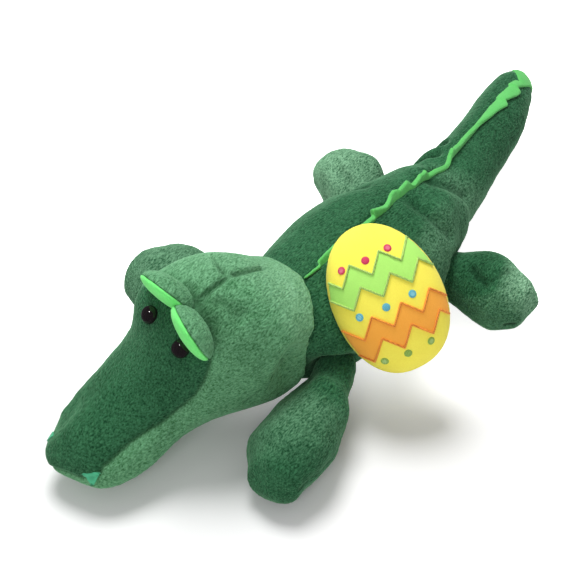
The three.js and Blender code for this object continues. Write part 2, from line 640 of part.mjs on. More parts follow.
function addEgg() {
  const skin = eggForm(0).subtract(eggSeat(0)).subtract(eggForm(CLOTH).subtract(eggSeat(CLOTH)));
  add("egg_front_panel", skin.subtract(below(SEAM_GAP / 2)), YELLOW, ROUGH_CLOTH, eggFrame);
  add("egg_back_panel", skin.subtract(above(-SEAM_GAP / 2)), YELLOW, ROUGH_CLOTH, eggFrame);
  const core = CLOTH + STUFFING_GAP;
  add("egg_stuffing", eggForm(core, coreOf(eggSteps)).subtract(eggSeat(core)), WHITE, ROUGH_CLOTH, eggFrame);
  const layer = eggForm(-SEAM_GAP - FELT).subtract(eggForm(-SEAM_GAP)).subtract(eggSeat(0));
  add("egg_green_band", layer.intersect(zigzag(GREEN_BAND_SHIFT, GREEN_BAND_Y)), LIME, ROUGH_CLOTH, eggFrame);
  add("egg_orange_band", layer.intersect(zigzag(ORANGE_BAND_SHIFT, ORANGE_BAND_Y)), ORANGE, ROUGH_CLOTH, eggFrame);
}

// Crest: a flat strip with saw teeth that stands on the seam along the back, given as heights at distances
function crestHeights(length, lead) {
  const heights = [[0, CREST_LOW]];
  if (lead > 0) heights.push([lead, CREST_LOW]);
  const teeth = Math.floor((length - lead) / CREST_TOOTH);
  for (let i = 0; i < teeth; i += 1) {
    const start = lead + i * CREST_TOOTH;
    heights.push([start + CREST_TOOTH - CREST_DROP, CREST_HEIGHT]);
    heights.push([start + CREST_TOOTH, CREST_LOW]);
  }
  return heights;
}
function crestStrip(size, shares, from, length, lead, lean) {
  const corners = crestHeights(length, lead).map(([along, height]) => {
    const y = from + along;
    const at = (y - size.from) / size.length;
    const centre = vec(eased(shares, 4, at) * size.halfWidth, y, eased(shares, 5, at) * size.halfHeight);
    const turn = rad(lean * THREE.MathUtils.smoothstep(at, 0.3, 1));
    const out = vec(Math.sin(turn), 0, Math.cos(turn));
    const flat = vec(Math.cos(turn), 0, -Math.sin(turn)).multiplyScalar(CREST_THICKNESS / 2);
    const half = vec(eased(shares, 1, at) * size.halfWidth, 0, eased(shares, 2, at) * size.halfHeight);
    const root = 1 / Math.hypot(out.x / half.x, out.z / half.z);
    const low = centre.clone().addScaledVector(out, root - CREST_SUNK);
    const high = centre.clone().addScaledVector(out, root + height);
    return [low.clone().add(flat), low.clone().sub(flat), high.clone().sub(flat), high.clone().add(flat)];
  });
  const index = [];
  for (let i = 0; i < corners.length - 1; i += 1) {
    for (let j = 0; j < 4; j += 1) {
      const [a, b] = [4 * i + j, 4 * i + ((j + 1) % 4)];
      index.push(a, b, a + 4, b, b + 4, a + 4);
    }
  }
  const end = 4 * (corners.length - 1);
  index.push(0, 2, 1, 0, 3, 2, end, end + 1, end + 2, end, end + 2, end + 3);
  const made = new THREE.BufferGeometry().setFromPoints(corners.flat());
  made.setIndex(index);
  return solid(made);
}
function addCrest() {
  const torsoEnd = TAIL_Y - TAIL_RADIUS / 4;
  const strip = crestStrip(torsoSize, torsoShares, CREST_START, torsoEnd - CREST_START, CREST_LEAD, 0);
  const spine = strip.subtract(torsoForm(-SEAM_GAP)).subtract(turned(eggForm(-SEAM_GAP), eggFrame));
  add("spine_crest", spine, LIGHT_GREEN, ROUGH_CLOTH);
  const tip = TAIL_LENGTH - TAIL_RADIUS - TAIL_TIP_DOME;
  const back = crestStrip(tailSize, tailShares, 0, tip, 0, CREST_LEAN);
  add("tail_crest", back.subtract(tailSolid(-SEAM_GAP)), LIGHT_GREEN, ROUGH_CLOTH, tailFrame);
}

addTorso();
addTail();
addHead();
for (const [name, leg] of Object.entries(legPlaces)) addLeg(name, leg);
for (const [name, mirror] of [["left", -1], ["right", 1]]) {
  addLid(name, mirror);
  addEye(name, mirror);
  addNostril(name, mirror);
}
addEgg();
addCrest();

export default group;
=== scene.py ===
"""The soft looks of a plush crocodile with a stuffed egg on its flank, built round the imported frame."""

import math

import bmesh
import bpy
import numpy as np
from bpy.props import FloatProperty, FloatVectorProperty, IntProperty, PointerProperty
from bpy.types import Operator, Panel, PropertyGroup
from mathutils import Matrix, Vector
from mathutils.bvhtree import BVHTree


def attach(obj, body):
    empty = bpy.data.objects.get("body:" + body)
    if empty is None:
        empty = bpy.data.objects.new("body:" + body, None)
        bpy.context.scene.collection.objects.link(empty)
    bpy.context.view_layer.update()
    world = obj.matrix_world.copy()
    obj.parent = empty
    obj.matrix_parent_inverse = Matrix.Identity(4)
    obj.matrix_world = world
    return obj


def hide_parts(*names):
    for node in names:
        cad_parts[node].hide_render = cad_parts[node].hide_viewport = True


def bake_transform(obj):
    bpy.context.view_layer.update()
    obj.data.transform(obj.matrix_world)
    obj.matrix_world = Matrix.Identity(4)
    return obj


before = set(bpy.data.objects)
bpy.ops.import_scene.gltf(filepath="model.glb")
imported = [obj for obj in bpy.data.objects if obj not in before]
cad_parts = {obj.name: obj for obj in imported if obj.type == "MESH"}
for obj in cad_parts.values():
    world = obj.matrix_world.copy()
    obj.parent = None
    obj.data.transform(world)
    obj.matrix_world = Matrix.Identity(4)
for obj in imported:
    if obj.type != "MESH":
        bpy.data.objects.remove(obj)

bl_info = {
    "name": "Plush Crocodile",
    "version": (1, 0, 0),
    "blender": (4, 5, 0),
    "location": "3D View > Sidebar > Plush Crocodile",
    "description": "Builds the soft looks of a stuffed crocodile with an egg round its packed frame",
    "category": "Add Mesh",
}

MM = 0.001
UP = Vector((0, 0, 1))
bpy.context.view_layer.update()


# Frames of the head, the tail, the near hind leg and the egg, each with +Y along the form
def limb_frame(place, heading, pitch=0, roll=0):
    made = Matrix.Translation(Vector(place) * MM)
    for angle, axis in ((heading, "Z"), (pitch, "X"), (roll, "Y")):
        made = made @ Matrix.Rotation(math.radians(angle), 4, axis)
    return made


def egg_frame():
    along = Vector((0.7, -0.22, -0.68)).normalized()
    sideways = along.cross(Vector((0.43, -0.61, 0.67))).normalized()
    turn = Matrix((sideways, along, sideways.cross(along).normalized())).transposed().to_4x4()
    return Matrix.Translation(Vector((44.8, -16.6, 71.2)) * MM) @ turn


HEAD = limb_frame((-13, -56, 46), 162, -8, -9)
TAIL = limb_frame((-1, 114, 37), 4)
NEAR_HIND_LEG = limb_frame((40, 69, 24), -75)
EGG = egg_frame()
EGG_OUT = EGG.to_3x3() @ UP

# The seam round the top of the snout, as distance forward and height in the head's own frame, in millimetres
SNOUT_SEAM = (
    (54, 49.4), (56.5, 46.1), (58.6, 42.2), (63.8, 35.5), (71.9, 26.7), (80.1, 21.3), (94.7, 15.1),
    (108.9, 12.5),
    (124.8, 8.9), (132.7, 6.9), (136.6, 3.6), (142.1, 0.6), (146, -3), (165, -4),
)
# Where the crown starts along the head, and how far the face sits to one side of the head's middle
LID_LINE = 56
FACE_SIDE = 5.3
# Heights of the seams round the legs and along the flanks, and where the tail starts
LEG_SEAM = 21.6
FLANK_SEAM = 10
TAIL_START = 114


def length(name, description, default, low, high):
    return FloatProperty(
        name=name, description=description, default=default, min=low, max=high, unit="LENGTH",
    )


def hue(name, description, default):
    return FloatVectorProperty(
        name=name, description=description, subtype="COLOR", size=3, default=default, min=0, max=1,
    )


class CrocodileSizes(PropertyGroup):
    """Sizes of the soft pieces"""

    skin_grid: length("Skin grid", "Size of the grid that the skins are remeshed on", 0.0035, 0.002, 0.01)
    leg_grid: length("Leg grid", "Size of the grid that the legs' skins are remeshed on", 0.003, 0.002, 0.01)
    pile_height: length("Pile height", "How far the tufts of the pile stand proud", 0.0005, 0, 0.004)
    seam_depth: length("Seam depth", "How deep the sewn seams pull in", 0.0016, 0, 0.005)
    seam_width: length("Seam width", "Half the width of the valley along a seam", 0.0022, 0.0005, 0.01)
    eye_radius: length("Eye radius", "Radius of the glossy eye buttons", 0.0054, 0.003, 0.01)
    crest_thickness: length("Crest thickness", "Thickness of the strip along the back", 0.0034, 0.001, 0.006)
    stitch_radius: length("Stitch radius", "Half the width of a band's stitch", 0.00068, 0.0002, 0.002)
    puff_frames: IntProperty(
        name="Puff frames", description="Frames of the simulation that plumps the stuffed skins",
        default=16, min=1, max=40,
    )


class CrocodileColours(PropertyGroup):
    """Colours of the cloths, threads and eyes, and of the light, shade and sheen painted on the plush"""

    body_dark: hue("Body, deep in the pile", "Torso, tail and legs between the tufts", (0.006, 0.048, 0.018))
    body_light: hue("Body, tips of the pile", "Torso, tail and legs on the tufts", (0.046, 0.175, 0.08))
    # The head's pair is the body's plush painted lighter, for the light and sheen that the crown, cheeks and
    # eyelids catch
    head_dark: hue("Head, deep in the pile", "Crown and cheeks between the tufts", (0.04, 0.15, 0.057))
    head_light: hue("Head, tips of the pile", "Crown and cheeks on the tufts", (0.17, 0.42, 0.22))
    # Painted sheen: besides tinting the shader's sheen, this colour is mixed into the plush's colour where a
    # form turns edge-on
    sheen: hue("Sheen", "Light that the pile catches at the edge of a form", (0.35, 0.72, 0.42))
    # Painted light: the colour that the plush is painted towards in its lighter spots
    painted_lit_pile: hue("Brushed up", "Plush where the pile stands up to the light", (0.34, 0.62, 0.39))
    bright_green: hue("Bright green", "Crest, eyelid linings and tail tip", (0.105, 0.49, 0.115))
    mint: hue("Mint", "Nostrils", (0.07, 0.44, 0.23))
    yellow: hue("Yellow", "Egg", (1.0, 0.86, 0.1))
    lime: hue("Lime", "Upper band", (0.42, 0.82, 0.16))
    olive: hue("Olive", "Thread round the upper band", (0.42, 0.66, 0.15))
    orange: hue("Orange", "Lower band", (1.0, 0.42, 0.055))
    rust: hue("Rust", "Thread round the lower band", (0.95, 0.3, 0.03))
    pink: hue("Pink", "Upper dots", (0.68, 0.05, 0.13))
    blue: hue("Blue", "Middle dots", (0.12, 0.48, 0.62))
    leaf: hue("Leaf green", "Lower dots", (0.3, 0.5, 0.09))


# Meshes as rows of points
def points(mesh):
    co = np.empty(len(mesh.vertices) * 3)
    mesh.vertices.foreach_get("co", co)
    return co.reshape(-1, 3)


def normals(mesh):
    out = np.empty(len(mesh.vertices) * 3)
    mesh.vertex_normals.foreach_get("vector", out)
    return out.reshape(-1, 3)


def put_points(mesh, co):
    mesh.vertices.foreach_set("co", np.asarray(co, float).ravel())
    mesh.update()


def local_points(co, matrix):
    """The points in a frame of their own, in millimetres"""
    inverse = np.array(matrix.inverted())
    return (co @ inverse[:3, :3].T + inverse[:3, 3]) / MM


def smoothstep(low, high, x):
    t = np.clip((x - low) / (high - low), 0, 1)
    return t * t * (3 - 2 * t)


def keep_value(obj, name, values):
    """Stores one number a vertex, for the materials"""
    attribute = obj.data.attributes.new(name, "FLOAT", "POINT")
    attribute.data.foreach_set("value", np.asarray(values, np.float32))


# Selecting, modifying and finishing
def only(obj):
    bpy.ops.object.select_all(action="DESELECT")
    obj.select_set(True)
    bpy.context.view_layer.objects.active = obj


def modify(obj, kind, **settings):
    """Adds a modifier and applies it"""
    modifier = obj.modifiers.new(kind.title(), kind)
    for key, value in settings.items():
        setattr(modifier, key, value)
    only(obj)
    bpy.ops.object.modifier_apply(modifier=modifier.name)


def subdivide(obj, levels=1):
    modify(obj, "SUBSURF", levels=levels, render_levels=levels)


def remesh(obj, size):
    modify(obj, "REMESH", mode="VOXEL", voxel_size=size, adaptivity=0)


def thicken(obj, thickness):
    modify(obj, "SOLIDIFY", thickness=thickness, offset=-1)


def tufts(obj, height, size, name):
    """Raises the pile in small uneven tufts"""
    texture = bpy.data.textures.new(name, "CLOUDS")
    texture.noise_scale = size
    texture.noise_depth = 1
    texture.noise_basis = "ORIGINAL_PERLIN"
    modify(obj, "DISPLACE", texture=texture, texture_coords="LOCAL", strength=height, mid_level=0.5)


def new_object(name, data):
    obj = bpy.data.objects.new(name, data)
    bpy.context.scene.collection.objects.link(obj)
    return obj


def built(name, made):
    """A new object from a mesh built face by face"""
    mesh = bpy.data.meshes.new(name)
    made.to_mesh(mesh)
    made.free()
    return new_object(name, mesh)


def sphere(name, segments, rings, radius=1):
    bpy.ops.object.select_all(action="DESELECT")
    bpy.ops.mesh.primitive_uv_sphere_add(segments=segments, ring_count=rings, radius=radius)
    made = bpy.context.object
    made.name = made.data.name = name
    return made


def cut(obj, *planes):
    """Cuts along planes, each a place, a direction and whether the near side goes, and closes the cuts"""
    only(obj)
    bpy.ops.object.mode_set(mode="EDIT")
    for place, direction, inner in planes:
        bpy.ops.mesh.select_all(action="SELECT")
        bpy.ops.mesh.bisect(
            plane_co=Vector(place) * MM, plane_no=direction, use_fill=True,
            clear_inner=inner, clear_outer=not inner,
        )
    bpy.ops.object.mode_set(mode="OBJECT")


def tree_of(name):
    return BVHTree.FromObject(bpy.data.objects[name], bpy.context.evaluated_depsgraph_get())


def seat_on_head(side, along):
    """Where a line down the head's own Z meets its skin, and the normal there"""
    start = HEAD @ Vector((side * MM, along * MM, 0.2))
    place, out, _, _ = tree_of("head_skin").ray_cast(start, -(HEAD.to_3x3() @ UP))
    if place is None:
        raise RuntimeError(f"nothing under {side}, {along} on the head")
    return place, out


def standing(place, out):
    """A frame at a place, with +Z along a direction"""
    return Matrix.Translation(place) @ UP.rotation_difference(out).to_matrix().to_4x4()


def smooth_shading(obj):
    only(obj)
    bpy.ops.object.shade_smooth()


def dress(obj, made):
    obj.data.materials.clear()
    obj.data.materials.append(made)


def finish_piece(obj, body, made, slot, *replaced, fill=None):
    smooth_shading(obj)
    dress(obj, made)
    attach(obj, body)
    if replaced:
        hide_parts(*replaced)


# Soft skins, from the solids of the frame
def stuffed_copy(name, nodes, grid, rounds):
    """One skin round copies of the nodes' meshes"""
    made = bmesh.new()
    for source in (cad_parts[node_name] for node_name in nodes):
        mesh = source.data.copy()
        mesh.transform(source.matrix_world)
        made.from_mesh(mesh)
        bpy.data.meshes.remove(mesh)
    bmesh.ops.remove_doubles(made, verts=made.verts, dist=1e-6)
    skin = built(name, made)
    remesh(skin, grid)
    keep_outer_skin(skin)
    relax(skin, rounds)
    return skin


def keep_outer_skin(obj):
    """Removes what the remesh left inside the stuffing"""
    made = bmesh.new()
    made.from_mesh(obj.data)
    made.verts.ensure_lookup_table()
    seen = np.zeros(len(made.verts), bool)
    islands = []
    for start in made.verts:
        if seen[start.index]:
            continue
        seen[start.index] = True
        island, front = [start], [start]
        while front:
            vert = front.pop()
            for edge in vert.link_edges:
                other = edge.other_vert(vert)
                if not seen[other.index]:
                    seen[other.index] = True
                    island.append(other)
                    front.append(other)
        islands.append(island)
    islands.sort(key=len)
    for island in islands[:-1]:
        bmesh.ops.delete(made, geom=island, context="VERTS")
    made.to_mesh(obj.data)
    made.free()
    obj.data.update()


def neighbour_mean(mesh):
    """Gives a function from the places of the vertices to the mean places of their neighbours"""
    ends = np.empty(len(mesh.edges) * 2, int)
    mesh.edges.foreach_get("vertices", ends)
    a, b = ends.reshape(-1, 2).T
    size = len(mesh.vertices)
    count = np.bincount(ends, minlength=size)[:, None]

    def mean(co):
        total = [np.bincount(a, co[b, k], size) + np.bincount(b, co[a, k], size) for k in range(3)]
        return np.stack(total, axis=1) / count

    return mean


def relax(obj, rounds):
    """Evens out the skin without shrinking it"""
    co, mean = points(obj.data), neighbour_mean(obj.data)
    for _ in range(rounds):
        for step in (0.62, -0.64):
            co = co + (mean(co) - co) * step
    put_points(obj.data, co)


def settle(obj, weight, rounds):
    """Smooths the skin where a weight a vertex allows it"""
    co, mean = points(obj.data), neighbour_mean(obj.data)
    for _ in range(rounds):
        co = co + (mean(co) - co) * 0.5 * weight[:, None]
    put_points(obj.data, co)


def puff(obj, held, cap):
    """Plumps a skin with air pressure, held along its seams; no vertex moves farther than the cap"""
    frames = bpy.context.scene.crocodile_sizes.puff_frames
    rest = points(obj.data)
    put_points(obj.data, rest - normals(obj.data) * cap * 0.1)
    group = obj.vertex_groups.new(name="Seams")
    for index in np.flatnonzero(held):
        group.add([int(index)], 1.0, "REPLACE")
    modifier = obj.modifiers.new("Cloth", "CLOTH")
    settings = modifier.settings
    settings.use_pressure = True
    settings.uniform_pressure_force = 4
    settings.effector_weights.gravity = 0
    settings.vertex_group_mass = "Seams"
    settings.quality = 4
    settings.mass = 0.15
    settings.tension_stiffness = settings.compression_stiffness = 25
    settings.bending_stiffness = 0.8
    modifier.point_cache.frame_start = 1
    modifier.point_cache.frame_end = frames
    for k in range(1, frames + 1):
        bpy.context.scene.frame_set(k)
    only(obj)
    bpy.ops.object.modifier_apply(modifier=modifier.name)
    bpy.context.scene.frame_set(1)
    obj.vertex_groups.clear()
    move = points(obj.data) - rest
    far = np.linalg.norm(move, axis=1, keepdims=True)
    put_points(obj.data, rest + move * np.minimum(1, cap / np.maximum(far, 1e-9)))


# Shaping: pulls, creases and seams on a skin
def nearness(co, centre, radius):
    """One at a place, falling to zero at a reach round it"""
    far = np.linalg.norm(co - np.array(centre) * MM, axis=1) / (radius * MM)
    return np.clip(1 - far * far, 0, 1)


def pull(obj, moves):
    """Moves the skin near each place, most at the place"""
    for centre, move, radius in moves:
        co = points(obj.data)
        put_points(obj.data, co + (nearness(co, centre, radius) ** 2)[:, None] * np.array(move) * MM)


def brushed(co, spots):
    """Where the pile lies brushed to catch more or less light, as soft spots"""
    # Painted light and shade as soft spots: above zero the plush is painted lighter, where it catches the
    # light, and below zero darker, where it lies in shade
    return sum(amount * nearness(co, centre, radius) for centre, radius, amount in spots)


def off_line(co, out, line):
    """Distance of each point from a line, measured along the skin, and its taper to the line's ends"""
    line = np.array(line, float) * MM
    steps = np.linalg.norm(np.diff(line, axis=0), axis=1)
    best = np.full(len(co), 1.0)
    along = np.zeros(len(co))
    passed = 0.0
    for a, b, step in zip(line[:-1], line[1:], steps):
        t = np.clip((co - a) @ (b - a) / step**2, 0, 1)
        away = co - (a + t[:, None] * (b - a))
        height = (away * out).sum(1)
        flat = np.sqrt(np.maximum((away * away).sum(1) - height**2, 0))
        flat = np.where(abs(height) > 10 * MM, 1.0, flat)
        near = flat < best
        best = np.where(near, flat, best)
        along = np.where(near, (passed + t * step) / steps.sum(), along)
        passed += step
    return best, smoothstep(0, 0.2, along) * smoothstep(0, 0.2, 1 - along)


def crease(obj, folds):
    """Presses folds into the skin along lines, with a soft swell on either side of each"""
    for line, depth, width, _ in folds:
        co, out = points(obj.data), normals(obj.data)
        away, taper = off_line(co, out, line)
        away = away / (width * MM)
        move = (0.05 * np.exp(-((away - 1.9) ** 2) * 1.5) - np.exp(-(away**2))) * depth * MM * taper
        put_points(obj.data, co + out * move[:, None])


def fold_shade(obj, folds):
    """Painted shade: how deep in a fold each vertex lies, weighted by how dark each fold is painted, for the
    materials
    """
    co, out = points(obj.data), normals(obj.data)
    shade = np.zeros(len(co))
    for line, _, width, dark in folds:
        away, taper = off_line(co, out, line)
        tight = np.exp(-((away / (0.5 * width * MM)) ** 2))
        loose = np.exp(-((away / (1.3 * width * MM)) ** 2))
        shade = np.maximum(shade, (0.6 * tight + 0.35 * loose) * taper * dark)
    return shade


def groove(obj, away, depth, width):
    """Pulls the skin in along a seam, where away is each vertex's distance from it in millimetres, and gives
    back the narrow valley, which the callers store as painted shade
    """
    co, out = points(obj.data), normals(obj.data)
    valley = np.exp(-((away * MM / width) ** 2))
    tight = np.exp(-((away * MM / (0.35 * width)) ** 2))
    put_points(obj.data, co - out * ((0.65 * valley + 0.35 * tight) * depth)[:, None])
    return tight


def reshape(obj, matrix, table):
    """Widens or narrows each side of a limb along its length and shifts it sideways, in its own frame"""
    table = np.array(table, float)
    local = local_points(points(obj.data), matrix)
    left, right, aside = (np.interp(local[:, 1], table[:, 0], table[:, k]) for k in (1, 2, 3))
    local[:, 0] = local[:, 0] * np.where(local[:, 0] > 0, left, right) + aside
    turn = np.array(matrix)
    put_points(obj.data, (local * MM) @ turn[:3, :3].T + turn[:3, 3])


# Materials
def node(tree, kind, inputs=None, **settings):
    made = tree.nodes.new(kind)
    for key, value in settings.items():
        setattr(made, key, value)
    for key, value in (inputs or {}).items():
        if isinstance(value, bpy.types.NodeSocket):
            tree.links.new(value, made.inputs[key])
        else:
            made.inputs[key].default_value = value
    return made


def rgb(colour, share=1.0, added=0.0):
    """A colour with its light changed, for a socket"""
    return (*(min(1.0, c * share + added) for c in colour), 1.0)


def math_node(tree, operation, a, b, clamp=False):
    return node(tree, "ShaderNodeMath", {0: a, 1: b}, operation=operation, use_clamp=clamp).outputs[0]


def times(tree, a, b, clamp=False):
    return math_node(tree, "MULTIPLY", a, b, clamp)


def mix(tree, factor, a, b):
    return node(tree, "ShaderNodeMix", {0: factor, 6: a, 7: b}, data_type="RGBA").outputs[2]


def spread(tree, value, low, high):
    inputs = {"Value": value, "From Min": low, "From Max": high}
    return node(tree, "ShaderNodeMapRange", inputs, clamp=True).outputs["Result"]


def object_place(tree):
    return node(tree, "ShaderNodeTexCoord").outputs["Object"]


def stored(tree, name):
    """A number stored on the vertices"""
    return node(tree, "ShaderNodeAttribute", attribute_name=name).outputs["Fac"]


def noise(tree, place, scale, detail=2.0, rough=0.5, warp=0.0):
    inputs = {"Vector": place, "Scale": scale, "Detail": detail, "Roughness": rough, "Distortion": warp}
    return node(tree, "ShaderNodeTexNoise", inputs).outputs["Fac"]


def wave(tree, place, scale, distortion, detail, direction):
    inputs = {"Vector": place, "Scale": scale, "Distortion": distortion, "Detail": detail}
    made = node(tree, "ShaderNodeTexWave", inputs, wave_type="BANDS", bands_direction=direction)
    return made.outputs["Fac"]


def laid(tree, place, turn, scale=(1.0, 1.0, 1.0)):
    inputs = {"Vector": place, "Rotation": turn, "Scale": scale}
    return node(tree, "ShaderNodeMapping", inputs).outputs["Vector"]


def bumped(tree, height, strength, distance):
    inputs = {"Height": height, "Strength": strength, "Distance": distance}
    return node(tree, "ShaderNodeBump", inputs).outputs["Normal"]


def to_surface(tree, shader, kind="ShaderNodeOutputMaterial"):
    tree.links.new(shader.outputs[0], node(tree, kind).inputs["Surface"])


def principled(tree, **inputs):
    """The surface itself, with its sockets' names written with underscores"""
    named = {key.replace("_", " "): value for key, value in inputs.items()}
    to_surface(tree, node(tree, "ShaderNodeBsdfPrincipled", named))


def material(name, paint, *args, **settings):
    """The material of that name, made once by a function that fills its node tree"""
    made = bpy.data.materials.get(name)
    if made is None:
        made = bpy.data.materials.new(name)
        made.use_nodes = True
        made.node_tree.nodes.clear()
        paint(made.node_tree, *args, **settings)
    return made


def plush(tree, part, turn, panel=None):
    """Short-haired plush: deep and tip colours, tufts, spots of painted light and shade, painted shade in
    the seams and folds, painted sheen at the edges and the shader's soft sheen
    """
    colours = bpy.context.scene.crocodile_colours
    dark, sheen = getattr(colours, f"{part}_dark"), rgb(colours.sheen)
    place = object_place(tree)
    along = laid(tree, place, turn, (1.0, 0.42, 1.0))
    fine = noise(tree, along, 1050, 1.5, 0.6, 0.4)
    hairs = noise(tree, along, 480, 1.0, 0.5, 0.5)
    patches = noise(tree, place, 120, 3.0, 0.55, 0.4)
    broad = noise(tree, place, 26, 1.0)
    value = 0.0
    for pattern, width, share in (
        (fine, 0.2, 0.66), (hairs, 0.24, 0.14), (patches, 0.16, 0.1), (broad, 0.15, 0.1),
    ):
        spotted = spread(tree, pattern, 0.5 - width, 0.5 + width)
        value = math_node(tree, "ADD", times(tree, spotted, share), value)
    value = spread(tree, value, 0.16, 0.84)
    # Painted light and shade from the stored spots: above zero lighter, below zero darker
    brush = stored(tree, "brushed")
    up, down = spread(tree, brush, 0.0, 1.0), spread(tree, brush, 0.0, -1.0)

    def pile_with_painted_light(which):
        """One pair of colours, painted lighter towards the lit colour where the stored light is above zero
        and darker where it is below
        """
        low, high = getattr(colours, f"{which}_dark"), getattr(colours, f"{which}_light")
        middle = [(a + b) / 2 for a, b in zip(low, high)]
        plain = mix(tree, value, rgb(low), rgb(high))
        raised = mix(tree, value, rgb(high, 0.8), rgb(colours.painted_lit_pile))
        sunk = mix(tree, value, rgb(low, 0.55), rgb(middle))
        return mix(tree, down, mix(tree, up, plain, raised), sunk)

    colour = pile_with_painted_light(part)
    # The snout's top panel takes the body's plush, darker than the head's plush, which is painted lighter
    if panel:
        colour = mix(tree, spread(tree, stored(tree, "panel"), -0.6, 0.6), colour, pile_with_painted_light(panel))
    # Painted shade in the seams and folds, from the stored seam value
    seam = stored(tree, "seam")
    colour = mix(tree, times(tree, seam, 0.8, True), colour, rgb(dark, 0.4))
    # Painted sheen: the colour turns towards the sheen colour where the surface is seen edge-on, less so in
    # seams and folds
    edge = node(tree, "ShaderNodeLayerWeight", {"Blend": 0.28}).outputs["Facing"]
    edge = times(tree, spread(tree, edge, 0.4, 1.0), 0.4)
    colour = mix(tree, times(tree, edge, spread(tree, seam, 0.4, 0.0)), colour, sheen)
    height = math_node(tree, "ADD", fine, times(tree, hairs, 0.5))
    principled(
        tree, Base_Color=colour, Roughness=0.92, Specular_IOR_Level=0.12, Sheen_Weight=0.22,
        Sheen_Roughness=0.42, Sheen_Tint=sheen, Normal=bumped(tree, height, 0.9, 0.0014),
    )


def cloth(tree, colour, grain=900, sheen=0.2, variation=0.12, seam=None):
    """Short smooth cloth or felt with a fine grain, turned darker where a seam value is stored"""
    place = object_place(tree)
    fine, broad = noise(tree, place, grain, 3.0, 0.65), noise(tree, place, 70)
    value = math_node(tree, "ADD", times(tree, fine, 0.6), times(tree, broad, 0.4))
    low, high = rgb(colour, 1 - variation), rgb(colour, 1 + variation * 0.6, 0.01)
    shade = mix(tree, spread(tree, value, 0.3, 0.7), low, high)
    # Darker where the stored seam value is set: painted shade in the egg's rim groove, and darker towards a
    # nostril's middle
    dip = times(tree, stored(tree, "seam"), 0.5, True)
    principled(
        tree, Base_Color=mix(tree, dip, shade, rgb(seam) if seam else rgb(colour, 0.5)), Roughness=0.85,
        Specular_IOR_Level=0.2, Sheen_Weight=sheen, Sheen_Roughness=0.5, Sheen_Tint=rgb(colour, 0.6, 0.35),
        Normal=bumped(tree, fine, 0.35, 0.0006),
    )


def thread(tree, colour):
    """Satin stitch: fine glossy threads side by side, across the egg"""
    rows = wave(tree, laid(tree, object_place(tree), (0.4, 0.9, 0.3)), 420, 2.5, 2.0, "X")
    principled(
        tree, Base_Color=mix(tree, rows, rgb(colour, 0.78), rgb(colour, 1.12, 0.01)), Roughness=0.5,
        Specular_IOR_Level=0.4, Anisotropic=0.3, Sheen_Weight=0.1, Normal=bumped(tree, rows, 0.4, 0.0003),
    )


def dot_thread(tree, colour):
    """Thread of a dot, lighter inside its ring"""
    rows = wave(tree, object_place(tree), 500, 1.5, 1.0, "Y")
    shade = mix(tree, rows, rgb(colour, 0.8), rgb(colour, 1.1))
    principled(
        tree, Base_Color=mix(tree, times(tree, stored(tree, "ring"), 0.24), shade, rgb(colour, 1.0, 0.5)),
        Roughness=0.5, Specular_IOR_Level=0.4, Normal=bumped(tree, rows, 0.4, 0.0003),
    )


def eye_gloss(tree):
    """Glossy black moulded plastic with faint wear"""
    haze = noise(tree, object_place(tree), 300, 3.0)
    rough = node(tree, "ShaderNodeMapRange", {"Value": haze, "To Min": 0.03, "To Max": 0.06})
    shade = mix(tree, haze, rgb((0.006, 0.004, 0.005)), rgb((0.014, 0.009, 0.011)))
    principled(tree, Base_Color=shade, Roughness=rough.outputs["Result"], Specular_IOR_Level=0.5)


def washer_milk(tree):
    """Milky moulded plastic of the washers behind the eyes"""
    cloud = noise(tree, object_place(tree), 400)
    shade = mix(tree, cloud, rgb((0.7, 0.69, 0.66)), rgb((0.82, 0.81, 0.78)))
    principled(tree, Base_Color=shade, Roughness=0.4, Normal=bumped(tree, cloud, 0.1, 0.0002))


def bright_felt():
    return material("bright_felt", cloth, bpy.context.scene.crocodile_colours.bright_green, sheen=0.35)


def floor_white(tree):
    """White floor with a painted glow for the camera alone, faint in front of the toy and strong behind it,
    so that the toy's shadow stays in front and is washed out behind
    """
    place = object_place(tree)
    shade = mix(tree, noise(tree, place, 3), rgb((0.84, 0.84, 0.842)), rgb((0.85, 0.85, 0.85)))
    diffuse = node(tree, "ShaderNodeBsdfDiffuse", {"Color": shade})
    away = node(tree, "ShaderNodeVectorMath", {0: place, 1: (-0.5736, 0.8192, 0.0)}, operation="DOT_PRODUCT")
    fade = node(
        tree, "ShaderNodeMapRange",
        {"Value": away.outputs[1], "From Min": -0.085, "From Max": 0.005, "To Min": 0.02, "To Max": 0.85},
        interpolation_type="SMOOTHSTEP",
    )
    # Painted light: the floor glows for camera rays, more the farther it lies behind the toy
    seen = node(tree, "ShaderNodeLightPath").outputs["Is Camera Ray"]
    strength = times(tree, seen, fade.outputs["Result"])
    lift = node(tree, "ShaderNodeEmission", {"Color": rgb((1, 1, 1)), "Strength": strength})
    to_surface(tree, node(tree, "ShaderNodeAddShader", {0: diffuse.outputs[0], 1: lift.outputs[0]}))


